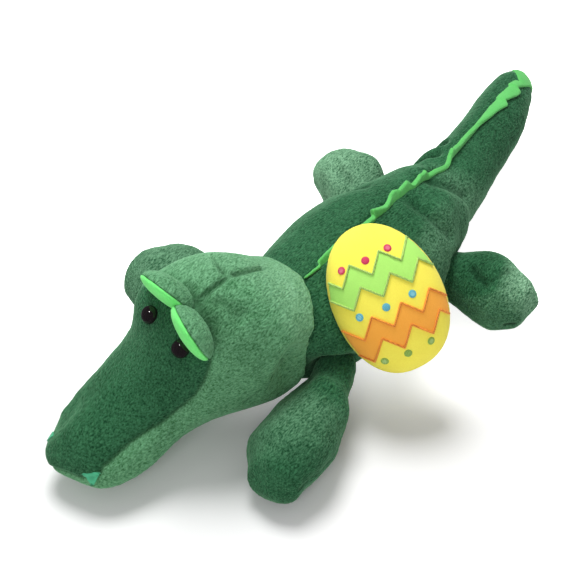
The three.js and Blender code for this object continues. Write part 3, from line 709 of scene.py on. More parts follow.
class CROCODILE_OT_stage(Operator):
    """Pale floor, soft studio light and the camera"""

    bl_idname = "crocodile.stage"
    bl_label = "Stage"

    def execute(self, context):
        bpy.ops.object.select_all(action="DESELECT")
        bpy.ops.mesh.primitive_plane_add(size=6, location=(0, 0, -0.0002))
        floor = context.object
        floor.name = "floor"
        bpy.ops.object.transform_apply(location=True, rotation=True, scale=True)
        floor.data.materials.append(material("floor_white", floor_white))
        floor.visible_glossy = False

        world = bpy.data.worlds.new("studio")
        context.scene.world = world
        world.use_nodes = True
        tree = world.node_tree
        tree.nodes.clear()
        path = node(tree, "ShaderNodeLightPath").outputs
        room, white, dim = (
            node(tree, "ShaderNodeBackground", {"Color": rgb(colour), "Strength": strength}).outputs[0]
            for colour, strength in (((1, 1, 1), 0.43), ((1, 1, 1), 1.0), ((0.9, 0.85, 0.95), 0.12))
        )
        lit = node(tree, "ShaderNodeMixShader", {0: path["Is Glossy Ray"], 1: room, 2: dim}).outputs[0]
        both = node(tree, "ShaderNodeMixShader", {0: path["Is Camera Ray"], 1: lit, 2: white})
        to_surface(tree, both, "ShaderNodeOutputWorld")

        for name, place, power, size, soft in (
            ("overhead", (-0.5, 0.3, 1.35), 21.5, 0.8, True),
            ("front", (0.5, -1.3, 0.95), 6.5, 0.7, True),
            ("glint", (-0.25, -0.45, 1.25), 5.0, 0.09, False),
        ):
            light = bpy.data.lights.new(name, "AREA")
            light.shape = "DISK"
            light.size = size
            light.energy = power
            lamp = new_object(name, light)
            lamp.location = place
            lamp.visible_diffuse = soft
            lamp.visible_glossy = not soft
            aim = Vector((-0.02, 0.0, 0.04)) - Vector(place)
            lamp.rotation_euler = aim.to_track_quat("-Z", "Y").to_euler()

        lens = bpy.data.cameras.new("photograph")
        lens.sensor_width = 36
        lens.lens = 1000 / 0.62 * 36 / 576
        camera = new_object("photograph", lens)
        azimuth, elevation = math.radians(35), math.radians(42)
        level = Vector((math.sin(azimuth), -math.cos(azimuth), 0)) * math.cos(elevation)
        back = level + UP * math.sin(elevation)
        camera.location = Vector((-0.0263, -0.0156, 0.040)) + back
        camera.rotation_euler = (-back).to_track_quat("-Z", "Y").to_euler()
        context.scene.camera = camera
        context.scene.view_settings.view_transform = "Standard"
        return {"FINISHED"}


# Folds of the torso and the tail: places on the skin, depth, half width and how dark their painted shade
# lies
BODY_FOLDS = (
    (((-3, 131, 64), (-8, 130, 62), (-15, 126, 57), (-30, 118, 42)), 7.5, 4.2, 0.35),
    (((-9, 148, 61), (-14, 146, 58), (-20, 143, 52), (-32, 138, 40)), 6.5, 4, 0.35),
    (((2, 91, 70), (10, 98, 66), (18, 104, 61), (27, 116, 46)), 2.6, 4.6, 0.6),
    (((2, 66, 73), (20, 66, 70), (34, 68, 60), (42, 74, 48)), 2.4, 5, 0.5),
    (((-40, 60, 55), (-30, 66, 64), (-20, 70, 70)), 1.4, 6, 0.5),
)
# Listed moves of the skin: place, move and reach
BODY_PULLS = (
    ((25, 86, 62), (1.6, 1, 2.2), 18), ((-38, -5, 60), (-3.6, 0.6, 2.2), 45),
    ((-36, 35, 60), (-3, 0.4, 2), 40), ((38, -42, 50), (2, -3.6, -1.5), 22),
    ((-18, 119, 56), (3.4, -0.5, -2.6), 10), ((-16, 146, 54), (3, -0.5, -2.4), 9),
    ((22, -66, 32), (-2.4, 3.4, 4.6), 22),
)
# Along the tail: the share of its width where its own X is above zero and below, and a shift along X
TAIL_WIDTHS = (
    (-30, 1, 1, 0), (-5, 1.1, 1, 0), (20, 1.14, 1, 0), (50, 1.18, 1, 0), (80, 1.27, 1.06, 0),
    (100, 1.32, 1.14, 0), (120, 1.24, 1.14, 0), (150, 1.06, 1, 0),
)
# Painted light and shade on the plush, as soft spots: place, reach and how much, above zero lighter and
# below zero darker
BODY_PAINTED_LIGHT = (
    ((-20, 20, 72), 60, -0.3), ((8, 155, 58), 42, -0.45), ((2, 205, 56), 50, -0.25),
    ((28, 130, 45), 45, 0.35),
    ((10, 60, 76), 30, -0.2), ((-30, 20, 70), 50, 0.1), ((42, 62, 55), 34, 0.32),
)


class CROCODILE_OT_body(Operator):
    """Skin of the torso and the tail, one stuffed form"""

    bl_idname = "crocodile.body"
    bl_label = "Torso and tail"

    def execute(self, context):
        sizes = context.scene.crocodile_sizes
        replaced = (
            "torso_left_panel", "torso_right_panel", "belly_panel", "torso_stuffing",
            "tail_left_panel", "tail_right_panel", "tail_stuffing",
        )
        skin = stuffed_copy("body_skin", (*replaced, "tail_tip_patch"), sizes.skin_grid, 8)
        puff(skin, self.from_seams(points(skin.data)) < 2.5, 0.0022)
        relax(skin, 2)
        subdivide(skin)
        reshape(skin, TAIL, TAIL_WIDTHS)
        co = points(skin.data)
        short = smoothstep(215, 255, co[:, 1] / MM)
        put_points(skin.data, co - short[:, None] * np.array((0.2, 2.6, 1.2)) * MM)
        pull(skin, BODY_PULLS)
        crease(skin, BODY_FOLDS)
        subdivide(skin)
        tight = groove(skin, self.from_seams(points(skin.data)), sizes.seam_depth, sizes.seam_width)
        # Painted shade in the seams and folds, and spots of painted light and shade, stored for the material
        keep_value(skin, "seam", np.maximum(tight, fold_shade(skin, BODY_FOLDS)))
        keep_value(skin, "brushed", brushed(points(skin.data), BODY_PAINTED_LIGHT))
        tufts(skin, sizes.pile_height, 0.0022, "body_pile")
        smooth_shading(skin)
        dress(skin, material("body_plush", plush, "body", (0.0, 0.0, 0.0)))
        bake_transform(skin)
        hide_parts(*replaced)
        return {"FINISHED"}

    @staticmethod
    def from_seams(co):
        """Distance from the seams along the back, the belly and the flanks"""
        x, y, z = co.T / MM
        across, _, high = local_points(co, TAIL).T
        on_tail = y > TAIL_START
        middle = np.where(on_tail, abs(across) + 99 * (high > 0), abs(x))
        return np.minimum(middle, np.where(on_tail, 99, abs(z - FLANK_SEAM)))


# How full each leg is stuffed, its spots of painted light and shade, folds and listed moves, and widths
# along it
LEGS = {
    "front_left": {
        "fill": 0.7,
        "spots": (((33, -100, 40), 40, 0.28), ((36, -60, 45), 30, -0.25)),
        "folds": (),
        "pulls": (
            ((49, -118, 14), (-5, -3.5, 0), 34), ((24, -138, 10), (0, -4.5, 0), 26),
            ((19, -106, 31), (2.3, 0.7, -0.9), 24), ((30, -135, 28), (3.6, 2.6, 0.3), 26),
            ((54, -138, 15), (1.1, -2.5, -2.1), 24), ((52, -55, 26), (-4.6, -3.2, 0), 26),
            ((33, -86, 42), (2.6, 1.8, 0), 18), ((64, -88, 29), (-2.4, -1.6, 0), 26),
            ((62, -118, 22), (-1.6, -1.1, 0.3), 26), ((22, -138, 14), (1.6, 1.1, 0), 20),
            ((58, -70, 30), (1.4, 1, 0), 15), ((48, -42, 27), (-2.6, -1.8, 0), 16),
            ((70, -118, 20), (-2.6, -0.8, 1), 22), ((38, -50, 46), (-0.5, -3, -7), 22),
        ),
    },
    "front_right": {
        "fill": 0.7,
        "spots": (((-105, -40, 42), 70, 0.38),),
        "folds": (),
        "pulls": (
            ((-120, -30, 15), (5, 0, -1), 45), ((-96, -20, 38), (-1.2, 1.7, 2.4), 22),
            ((-118, -59, 31), (1.6, 1.1, 0), 18),
        ),
    },
    "hind_left": {
        "fill": 0.6,
        "spots": (((62, 72, 40), 24, -0.7), ((90, 82, 34), 26, 0.85), ((86, 70, 36), 50, 0.22)),
        "folds": (
            (((55, 71, 40), (63, 64, 38), (75, 60, 35)), 2.4, 2.8, 0.8),
            (((71, 60, 37), (76, 70, 40), (80, 80, 40)), 1.6, 3, 0.6),
            (((86, 56, 16), (95, 62, 17)), 2.6, 2.2, 1.4),
        ),
        "pulls": (
            ((92, 50, 14), (0, -2, -1.5), 24), ((82, 100, 24), (-0.4, -3, -3.2), 26),
            ((98, 84, 20), (1.8, 1.2, 0), 14), ((70, 58, 20), (1, -1.8, -2.2), 22),
            ((58, 92, 34), (-0.5, 1, 1.2), 18),
        ),
        "shape": ((0, 1, 1, 0), (20, 1, 1, 1), (45, 0.98, 0.86, 4), (80, 0.95, 0.76, 7.5)),
    },
    "hind_right": {
        "fill": 0.6,
        "spots": (((-72, 108, 42), 60, 0.7),),
        "folds": ((((-66, 102, 44), (-58, 98, 44), (-48, 92, 42)), 1.2, 3.6, 0.4),),
        "pulls": (
            ((-85, 118, 25), (-1.5, 5, 0.5), 60), ((-71, 117, 39), (-1.3, 1.9, 2.5), 50),
            ((-78, 84, 20), (5.5, 7, 2), 28), ((-50, 118, 38), (1, 3.2, 2.4), 20),
        ),
    },
}


class CROCODILE_OT_legs(Operator):
    """Skins of the four stuffed legs"""

    bl_idname = "crocodile.legs"
    bl_label = "Legs"

    def execute(self, context):
        sizes = context.scene.crocodile_sizes
        for name, leg in LEGS.items():
            replaced = [f"{name}_leg_{part}" for part in ("top_panel", "sole_panel", "stuffing")]
            skin = stuffed_copy(f"{name}_leg_skin", replaced, sizes.leg_grid, 7)
            puff(skin, self.from_seam(skin) < 2.0, 0.0016)
            relax(skin, 1)
            subdivide(skin)
            if "shape" in leg:
                reshape(skin, NEAR_HIND_LEG, leg["shape"])
            pull(skin, leg["pulls"])
            crease(skin, leg["folds"])
            subdivide(skin)
            tight = groove(skin, self.from_seam(skin), sizes.seam_depth * 0.2, sizes.seam_width)
            # Painted shade in the seams and folds, and spots of painted light and shade, stored for the
            # material
            keep_value(skin, "seam", np.maximum(tight * 0.15, fold_shade(skin, leg["folds"])))
            keep_value(skin, "brushed", brushed(points(skin.data), leg["spots"]))
            tufts(skin, sizes.pile_height, 0.0021, f"{name}_pile")
            made = material("leg_plush", plush, "body", (0.0, 0.0, 1.2))
            finish_piece(skin, f"{name}_leg", made, "dark_plush", *replaced, fill=leg["fill"])
        return {"FINISHED"}

    @staticmethod
    def from_seam(skin):
        return abs(points(skin.data)[:, 2] / MM - LEG_SEAM)


# The darts and dents of the head: places on the skin, depth, half width and how dark their painted shade
# lies
HEAD_FOLDS = (
    (((-38, -75, 98), (-30, -80, 101), (-21, -85, 102)), 2.4, 1.8, 0.9),
    (((-21, -85, 102), (-19, -81, 102), (-16, -72, 99), (-12, -56, 93)), 2.2, 2, 0.8),
    (((-20, -80, 102), (-21, -90, 102), (-22, -100, 102), (-24, -116, 100)), 2.2, 1.8, 0.9),
    (((-18, -101, 101), (-6, -99, 99), (5, -98, 92)), 2.2, 5, 0.5),
    (((-40, -97, 98), (-24, -109, 101), (-12, -115, 98), (-3, -121, 90), (2, -125, 80)), 1.6, 5.5, 0.85),
    (((29, -74, 64), (27, -84, 58), (25, -94, 53), (20, -108, 45), (16, -118, 40)), 2.2, 1.8, 1),
)
# Listed moves of the head's skin: place, move and reach
HEAD_PULLS = (
    ((-62, -192, 20), (-4, -2, -2.5), 26), ((-73, -170, 42), (3.9, 0.4, -2.1), 26),
    ((-77, -176, 34), (5, 2, -0.6), 22), ((-62, -190, 24), (-2, -3, -2.5), 18),
    ((-71, -152, 48), (1, 0, -0.6), 26), ((-57, -130, 64), (1.9, 0, -1.2), 26),
    ((-55, -193, 31), (-0.5, -2.2, -1.7), 24), ((-37, -194, 23), (0.4, -1.6, -1.7), 24),
    ((-18, -170, 22), (2.1, -0.6, -1.9), 26), ((-1, -134, 35), (-1.3, 0.9, 1.7), 30),
    ((14, -115, 44), (-2, 0.9, 2.1), 30), ((25, -95, 50), (-1.8, 0.6, 1.7), 26),
    ((34, -76, 58), (-3.6, -2, 1.4), 30), ((30, -80, 52), (-7.6, -0.2, 4.6), 24),
    ((27, -87, 46), (-4, 0.5, 3.2), 20), ((29, -77, 43), (-5, 1.4, 4.4), 20),
    ((10, -46, 78), (1.4, 1, 0), 22), ((-51, -92, 91), (-8.2, -0.8, 4.2), 34),
    ((-58, -108, 82), (-4.6, -2.6, 0.8), 26), ((-40, -80, 97), (-1.5, 2.2, 3), 28),
    ((-28, -66, 97), (-0.9, 1.3, 1.7), 26), ((5, -49, 83), (0.2, 1.3, 1.1), 24),
)
# Painted light and shade on the head, as soft spots: place, reach and how much, above zero lighter and below
# zero darker
HEAD_PAINTED_LIGHT = (
    ((-12, -116, 98), 22, -0.7), ((5, -95, 92), 30, -0.25), ((8, -58, 86), 38, 0.5),
    ((-40, -70, 96), 35, 0.25),
    ((18, -106, 60), 34, -0.3), ((-25, -160, 60), 45, -0.25),
)


class CROCODILE_OT_head(Operator):
    """Skin of the head: the top of the snout in the body's darker plush, the rest in the head's plush,
    painted lighter for the light and sheen it catches
    """

    bl_idname = "crocodile.head"
    bl_label = "Head"

    def execute(self, context):
        sizes = context.scene.crocodile_sizes
        replaced = ("head_left_panel", "head_right_panel", "snout_top_panel", "chin_panel", "head_stuffing")
        skin = stuffed_copy("head_skin", replaced, sizes.skin_grid, 16)
        puff(skin, abs(self.panel(points(skin.data))) < 2.5, 0.002)
        relax(skin, 1)
        subdivide(skin)
        pull(skin, HEAD_PULLS)
        body = tree_of("body_skin")
        near = np.array([body.find_nearest(Vector(place))[3] for place in points(skin.data)]) / MM
        settle(skin, smoothstep(8, 4, near), 90)
        subdivide(skin)
        co = points(skin.data)
        panel = self.panel(co)
        tight = groove(skin, abs(panel), sizes.seam_depth, sizes.seam_width)
        crease(skin, HEAD_FOLDS)
        # Painted shade in the seams and folds, and spots of painted light and shade, stored for the material
        keep_value(skin, "seam", np.maximum(tight * 0.7, fold_shade(skin, HEAD_FOLDS)))
        keep_value(skin, "panel", panel)
        keep_value(skin, "brushed", brushed(co, HEAD_PAINTED_LIGHT))
        tufts(skin, sizes.pile_height, 0.0022, "head_pile")
        made = material("head_plush", plush, "head", (0.0, 0.0, 0.35), panel="body")
        finish_piece(skin, "head", made, "mid_plush", *replaced, fill=0.8)
        return {"FINISHED"}

    @staticmethod
    def panel(co):
        """Distance from the seam round the snout's top, above zero inside it"""
        local = local_points(co, HEAD)
        seam = np.array(SNOUT_SEAM, float)
        best = np.full(len(co), 99.0)
        local[:, 2] += 14 * smoothstep(-10, 22, local[:, 0]) * smoothstep(66, 90, local[:, 1])
        flat = local[:, 1:3]
        for a, b in zip(seam[:-1], seam[1:]):
            t = np.clip((flat - a) @ (b - a) / ((b - a) @ (b - a)), 0, 1)
            best = np.minimum(best, np.linalg.norm(flat - (a + t[:, None] * (b - a)), axis=1))
        height = np.interp(local[:, 1], seam[:, 0], seam[:, 1])
        return np.minimum(np.where(local[:, 2] > height, best, -best), local[:, 1] - LID_LINE)


# Each eyelid: its side, where it sits across and along the head, how far it stands up, its lean forward and
# its tilt out in degrees, and how far its lining bulges
EYELIDS = (
    ("left", -1, -8, 58.1, 0, -22, 30, 6.2),
    ("right", 1, 19, 54.5, 2.2, -27, 22, 5),
)


class CROCODILE_OT_eyelids(Operator):
    """Padded half moons over the eyes, each with a bright lining in front"""

    bl_idname = "crocodile.eyelids"
    bl_label = "Eyelids"

    def execute(self, context):
        for name, mirror, side, along, rise, lean, tilt, bulge in EYELIDS:
            seat, _ = seat_on_head(side, along)
            stand = HEAD @ (
                Matrix.Translation(HEAD.inverted() @ seat + UP * rise * MM)
                @ Matrix.Rotation(math.radians(mirror * tilt), 4, "Y")
                @ Matrix.Rotation(math.radians(lean), 4, "X")
            )
            self.half_moon(f"{name}_eyelid_pad", stand, False, 10.2, -0.9, 0.0011)
            self.half_moon(f"{name}_eyelid_lining", stand, True, bulge, -0.7, 0.0009)
        return {"FINISHED"}

    @staticmethod
    def half_moon(source, stand, front, bulge, back, grid):
        """The rear or the front half of a flat ball, cut off at its foot"""
        piece = sphere(f"{source}_skin", 72, 48)
        put_points(piece.data, points(piece.data) * np.array((18, bulge, 19)) * MM)
        cut(piece, ((0, back, 0), (0, 1, 0), front), ((0, 0, -11), (0, 0, 1), True))
        remesh(piece, grid)
        relax(piece, 3)
        piece.data.transform(stand)
        if front:
            bright = [min(0.9, 1.7 * c) for c in bpy.context.scene.crocodile_colours.bright_green]
            made = material("lid_felt", cloth, bright, sheen=0.35)
            finish_piece(piece, "head", made, "light_green_felt", source, fill=0.4)
        else:
            subdivide(piece)
            tufts(piece, 0.0007, 0.0018, f"{source}_pile")
            # A faint, even touch of painted light on the pads
            keep_value(piece, "brushed", np.full(len(piece.data.vertices), 0.05))
            made = material("lid_plush", plush, "head", (0.0, 0.0, 0.9))
            finish_piece(piece, "head", made, "mid_plush", source, fill=0.6)


EYE_ASIDE, EYE_AHEAD = 14.8, 10.5


class CROCODILE_OT_eyes(Operator):
    """Glossy button eyes, and the finish of the washers behind them"""

    bl_idname = "crocodile.eyes"
    bl_label = "Eyes"

    def execute(self, context):
        for name, mirror in (("left", -1), ("right", 1)):
            place, out = seat_on_head(FACE_SIDE + mirror * EYE_ASIDE, LID_LINE + EYE_AHEAD)
            eye = sphere(f"{name}_eye", 64, 32, context.scene.crocodile_sizes.eye_radius)
            co = points(eye.data)
            co[:, 2] *= 0.86
            put_points(eye.data, co)
            cut(eye, ((0, 0, -1.6), (0, 0, 1), True))
            bpy.ops.object.select_all(action="DESELECT")
            bpy.ops.mesh.primitive_cylinder_add(
                vertices=24, radius=0.0016, depth=0.0105, location=(0, 0, -0.0062),
            )
            eye.select_set(True)
            context.view_layer.objects.active = eye
            bpy.ops.object.transform_apply(location=True, rotation=True, scale=True)
            bpy.ops.object.join()
            eye.data.transform(standing(place + out * 0.0004, out))
            only(eye)
            bpy.ops.object.shade_smooth_by_angle(angle=math.radians(40))
            dress(eye, material("eye_gloss", eye_gloss))
            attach(eye, "head")
            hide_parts(f"{name}_eye_button")
            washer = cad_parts[f"{name}_eye_washer"]
            washer.data.materials.clear()
            washer.data.materials.append(material("washer_milk", washer_milk))
        return {"FINISHED"}


# Middle of each nostril in the head's own frame, the turn of its point and its size
NOSTRILS = {"left": ((-21, 140.3, 0.6), 88, 0.0064), "right": ((17.5, 143.5, -1.5), 150, 0.0045)}


class CROCODILE_OT_nostrils(Operator):
    """Small three-cornered patches of mint cloth on the front corners of the snout"""

    bl_idname = "crocodile.nostrils"
    bl_label = "Nostrils"

    def execute(self, context):
        tree = tree_of("head_skin")
        for name, (place, spin, size) in NOSTRILS.items():
            near, out, _, _ = tree.find_nearest(HEAD @ (Vector(place) * MM))
            bpy.ops.object.select_all(action="DESELECT")
            bpy.ops.mesh.primitive_circle_add(vertices=3, radius=size, fill_type="NGON")
            patch = context.object
            patch.name = patch.data.name = f"{name}_nostril_patch"
            bpy.ops.object.mode_set(mode="EDIT")
            bpy.ops.mesh.select_all(action="SELECT")
            bpy.ops.mesh.bevel(offset=size * 0.32, segments=3, affect="VERTICES")
            bpy.ops.mesh.select_all(action="SELECT")
            bpy.ops.mesh.quads_convert_to_tris()
            bpy.ops.mesh.subdivide(number_cuts=6)
            bpy.ops.object.mode_set(mode="OBJECT")
            patch.data.transform(standing(near, out) @ Matrix.Rotation(math.radians(spin), 4, "Z"))
            co = points(patch.data)
            for index, flat in enumerate(co):
                on, away, _, _ = tree.find_nearest(Vector(flat))
                co[index] = on + away * 0.0007
            put_points(patch.data, co)
            middle = np.linalg.norm(co - co.mean(0), axis=1) / MM
            # Stored as seam though no seam runs there: the cloth turns darker towards the patch's middle
            keep_value(patch, "seam", 0.9 * smoothstep(2.4, 0.6, middle))
            thicken(patch, 0.0013)
            made = material("mint_cloth", cloth, context.scene.crocodile_colours.mint, sheen=0.3)
            finish_piece(patch, "head", made, "mint_felt", f"{name}_nostril")
        return {"FINISHED"}


# Half the egg's width and depth, and its length from the middle to either end
EGG_WIDE, EGG_DEEP, EGG_LONG = 33.4, 22, (46.4, 45)


class CROCODILE_OT_egg(Operator):
    """Stuffed egg sewn on the left flank"""

    bl_idname = "crocodile.egg"
    bl_label = "Egg"

    def execute(self, context):
        egg = sphere("egg_skin", 112, 72)
        across, depth, along = points(egg.data).T
        along = np.clip(-along, -1, 1)
        wide = np.sqrt(np.maximum(1 - along**2, 0))
        turn_x, turn_z = across / np.maximum(wide, 1e-6), depth / np.maximum(wide, 1e-6)
        fuller = np.clip(-turn_x, 0, 1) * smoothstep(0, 0.6, along)
        outline = wide ** (0.95 - 0.16 * fuller) * (1 + 0.06 * along)
        width = turn_x * outline * EGG_WIDE + 2.2 * np.maximum(along, 0) ** 2
        height = np.sign(turn_z) * abs(turn_z) ** 0.9 * outline * EGG_DEEP
        put_points(egg.data, np.stack([width, along * np.where(along > 0, *EGG_LONG), height], axis=1) * MM)
        egg.data.transform(EGG)
        only(egg)
        bpy.ops.object.mode_set(mode="EDIT")
        bpy.ops.mesh.select_all(action="SELECT")
        bpy.ops.mesh.normals_make_consistent(inside=False)
        bpy.ops.object.mode_set(mode="OBJECT")
        self.press(egg, 0.0004, "body_skin", "front_left_leg_skin")
        relax(egg, 2)
        tight = groove(egg, abs(local_points(points(egg.data), EGG)[:, 2]), 0.0012, 0.0017)
        # Painted shade in the rim groove, in the darker yellow that the cloth is given below
        keep_value(egg, "seam", tight * 0.6)
        tufts(egg, 0.00025, 0.0016, "egg_pile")
        yellow = context.scene.crocodile_colours.yellow
        made = material("egg_cloth", cloth, yellow, grain=1100, variation=0.07, seam=(0.75, 0.5, 0.03))
        replaced = ("egg_front_panel", "egg_back_panel", "egg_stuffing")
        finish_piece(egg, "torso", made, "yellow_plush", *replaced, fill=0.75)
        return {"FINISHED"}

    @staticmethod
    def press(piece, gap, *others):
        """Flattens a piece where it lies against others"""
        co = points(piece.data)
        for tree in map(tree_of, others):
            for index, place in enumerate(co):
                on, out, _, _ = tree.find_nearest(Vector(place))
                if (Vector(place) - on).dot(out) < gap:
                    co[index] = on + out * gap
        put_points(piece.data, co)


# Each band: where its zigzag starts along and across the egg, and the colours of its cloth and its thread
BANDS = {"green": (-19, 2.6, "lime", "olive"), "orange": (13, 4.6, "orange", "rust")}
BAND_HALF, BAND_STEP, BAND_SWING = 6.9, 9.2, 10.5
# Each dot: its colour, its place across and along the egg, and whether it is a ring
DOTS = (
    ("pink", 17.4, -25.3, True), ("pink", 2.6, -24.6, False), ("pink", -12.2, -25.3, True),
    ("blue", 20.2, 3.3, True), ("blue", 4, 4.7, False), ("blue", -13, 4.6, True),
    ("leaf", 18.2, 32.9, True), ("leaf", 4.2, 34.6, False), ("leaf", -11, 34.2, True),
)


class EggTop:
    """Finds places on the decorated side of the egg"""

    def __init__(self):
        self.tree = tree_of("egg_skin")

    def at(self, x, y, lift=0.0):
        """Place and normal, sunk a little where the skin turns away at the rim"""
        place, out, _, _ = self.tree.ray_cast(EGG @ Vector((x * MM, y * MM, 0.1)), -EGG_OUT)
        if place is None or (EGG.inverted() @ place).z < 5.5 * MM:
            return None, None
        facing = smoothstep(0.08, 0.5, out.dot(EGG_OUT))
        return place + out * (lift * facing - 0.0008 * (1 - facing)), out


class Zigzag:
    """Rows of places along one band"""

    def __init__(self, start, shift):
        self.top = EggTop()
        self.start, self.shift = start, shift

    def at(self, x, v, lift=0.0):
        """A place across the egg, at a distance from the zigzag's middle line"""
        t = (x - self.shift) / BAND_STEP
        k = math.floor(t)
        rise = t - k if k % 2 else 1 - (t - k)
        return self.top.at(x, self.start + BAND_SWING * rise + v, lift)[0]

    def row(self, v, lift):
        """One row, cut off a little inside the egg's edge, with every corner among its places"""
        ends = []
        for way in (-1, 1):
            x = 0.0
            while self.at(x + way * 0.5, v) is not None:
                x += way * 0.5
            for step in (0.25, 0.125, 0.0625, 0.03125):
                if self.at(x + way * step, v) is not None:
                    x += way * step
            ends.append(x - way * 0.7)
        corners = [self.shift + k * BAND_STEP for k in range(-5, 6)]
        every = sorted({round(x, 4) for x in [*np.linspace(-38, 38, 109), *corners]})
        return [self.at(min(max(x, ends[0]), ends[1]), v, lift) for x in every]


class CROCODILE_OT_bands(Operator):
    """Zigzag bands of cloth sewn on the egg with satin stitch"""

    bl_idname = "crocodile.bands"
    bl_label = "Egg bands"

    def execute(self, context):
        colours, stitch = context.scene.crocodile_colours, context.scene.crocodile_sizes.stitch_radius
        for name, (start, shift, cloth_name, thread_name) in BANDS.items():
            zigzag = Zigzag(start, shift)
            slot = f"{cloth_name}_cloth"
            made = bmesh.new()
            heights = np.linspace(-BAND_HALF, BAND_HALF, 15)
            grid = [[made.verts.new(place) for place in zigzag.row(v, 0.0006)] for v in heights]
            for low, high in zip(grid[:-1], grid[1:]):
                for corners in zip(low[:-1], low[1:], high[1:], high[:-1]):
                    made.faces.new(corners)
            bmesh.ops.remove_doubles(made, verts=made.verts, dist=2e-5)
            bmesh.ops.recalc_face_normals(made, faces=made.faces)
            piece = built(f"egg_{name}_band_cloth", made)
            if sum(p.normal.dot(EGG_OUT) for p in piece.data.polygons) < 0:
                piece.data.flip_normals()
            thicken(piece, 0.0011)
            colour = getattr(colours, cloth_name)
            made = material(f"{name}_band_cloth", cloth, colour, grain=1300, variation=0.06)
            finish_piece(piece, "torso", made, slot, f"egg_{name}_band")

            colour = getattr(colours, thread_name)
            for part, look, half, radius, lift, share in (
                ("edge", "thread", BAND_HALF, stitch, 0.0, 1.0),
                ("line", "fine_thread", BAND_HALF - 0.1, stitch * 0.42, 0.0004, 0.62),
            ):
                paths = [zigzag.row(v, 0.0008) for v in (-half, half)]
                piece = self.tube(f"egg_{name}_band_{part}", paths, radius, lift)
                made = material(f"{name}_{look}", thread, [c * share for c in colour])
                finish_piece(piece, "torso", made, slot)
        return {"FINISHED"}

    @staticmethod
    def tube(name, paths, radius, lift):
        curve = bpy.data.curves.new(name, "CURVE")
        curve.dimensions = "3D"
        curve.bevel_depth = radius
        curve.bevel_resolution = 2
        curve.use_fill_caps = True
        for path in paths:
            kept = [path[0]]
            for place in path[1:]:
                if (place - kept[-1]).length > 0.0002:
                    kept.append(place)
            spline = curve.splines.new("POLY")
            spline.points.add(len(kept) - 1)
            for point, place in zip(spline.points, kept):
                point.co = (*(place + EGG_OUT * lift), 1)
        only(new_object(name, curve))
        bpy.ops.object.convert(target="MESH")
        return bpy.context.object


class CROCODILE_OT_dots(Operator):
    """Embroidered dots on the egg"""

    bl_idname = "crocodile.dots"
    bl_label = "Egg dots"

    def execute(self, context):
        top = EggTop()
        radius = 0.0024
        for number, (colour, x, y, ring) in enumerate(DOTS, 1):
            dot = sphere(f"egg_dot_{number}", 40, 20, radius)
            co = points(dot.data)
            away = np.hypot(co[:, 0], co[:, 1]) / radius
            co[:, 2] *= 0.32
            if ring:
                co[:, 2] -= np.where(co[:, 2] > 0, 0.00035 * np.exp(-((away / 0.55) ** 2)), 0)
            put_points(dot.data, co)
            dot.data.transform(standing(*top.at(x, y)))
            keep_value(dot, "ring", smoothstep(0.62, 0.5, away) * ring)
            shade = getattr(context.scene.crocodile_colours, colour)
            made = material(f"{colour}_dot_thread", dot_thread, shade)
            finish_piece(dot, "torso", made, "yellow_plush")
        return {"FINISHED"}


# Places along the crest: where its foot and its upper edge stand, across and along, and how high the edge is
CREST = (
    (-1, -34, -1.6, -35, 0.3), (-0.5, -28, -1.2, -29, 3), (0.5, -11, 0.6, -12, 4.6), (0.8, 13, 0.2, 13, 4.4),
    (2.5, 23, 3.4, 24, 2.6), (3, 34, 3.8, 35.2, 2.6), (2.6, 35.4, 2.4, 35.6, 6.6), (3, 48, 3.8, 48.4, 2.6),
    (2.2, 60, 1.2, 61.6, 6.4), (2.4, 66, 2, 67, 4.2), (2.4, 76, 1.6, 77.2, 6.2), (2.8, 78.6, 3, 78.8, 2.8),
    (3, 81, 4.2, 81.2, 2.4), (2.6, 94.5, 1.4, 96.2, 6.6), (3, 97, 3.6, 98, 2.4), (4, 103, 5, 104.2, 2.2),
    (5, 118, 6.4, 119.4, 2.4), (4, 124.5, 3.6, 125.6, 4.6), (2.5, 129, 2, 130.6, 7.2),
    (1.8, 133, 2.4, 134.2, 5.2),
    (-0.6, 154.5, -0.4, 155.2, 3.8), (-2.6, 169, -1, 170, 3.2), (-5.4, 178, 0.2, 177.6, 2.6),
    (-7.4, 188, 1, 186.4, 2), (-9.2, 199, 1.2, 198, 2), (-10.6, 209, 3, 208.4, 2),
    (-11, 211, -1, 210.4, 2), (-13, 224, 1.4, 223, 2.2), (-13.4, 231, 0.8, 230.8, 2.2),
    (-13.4, 233, -3.6, 232.6, 1.8), (-13.6, 243, -2.4, 241.5, 1.4),
)
# Round each station of the crest: across, up its height, and how far under the skin
CREST_RING = (
    (-1, 0, 3), (-1, 0.4, 0), (-0.98, 0.82, 0), (-0.6, 0.97, 0), (0, 1, 0), (0.6, 0.97, 0), (0.98, 0.82, 0),
    (1, 0.4, 0), (1, 0, 3),
)


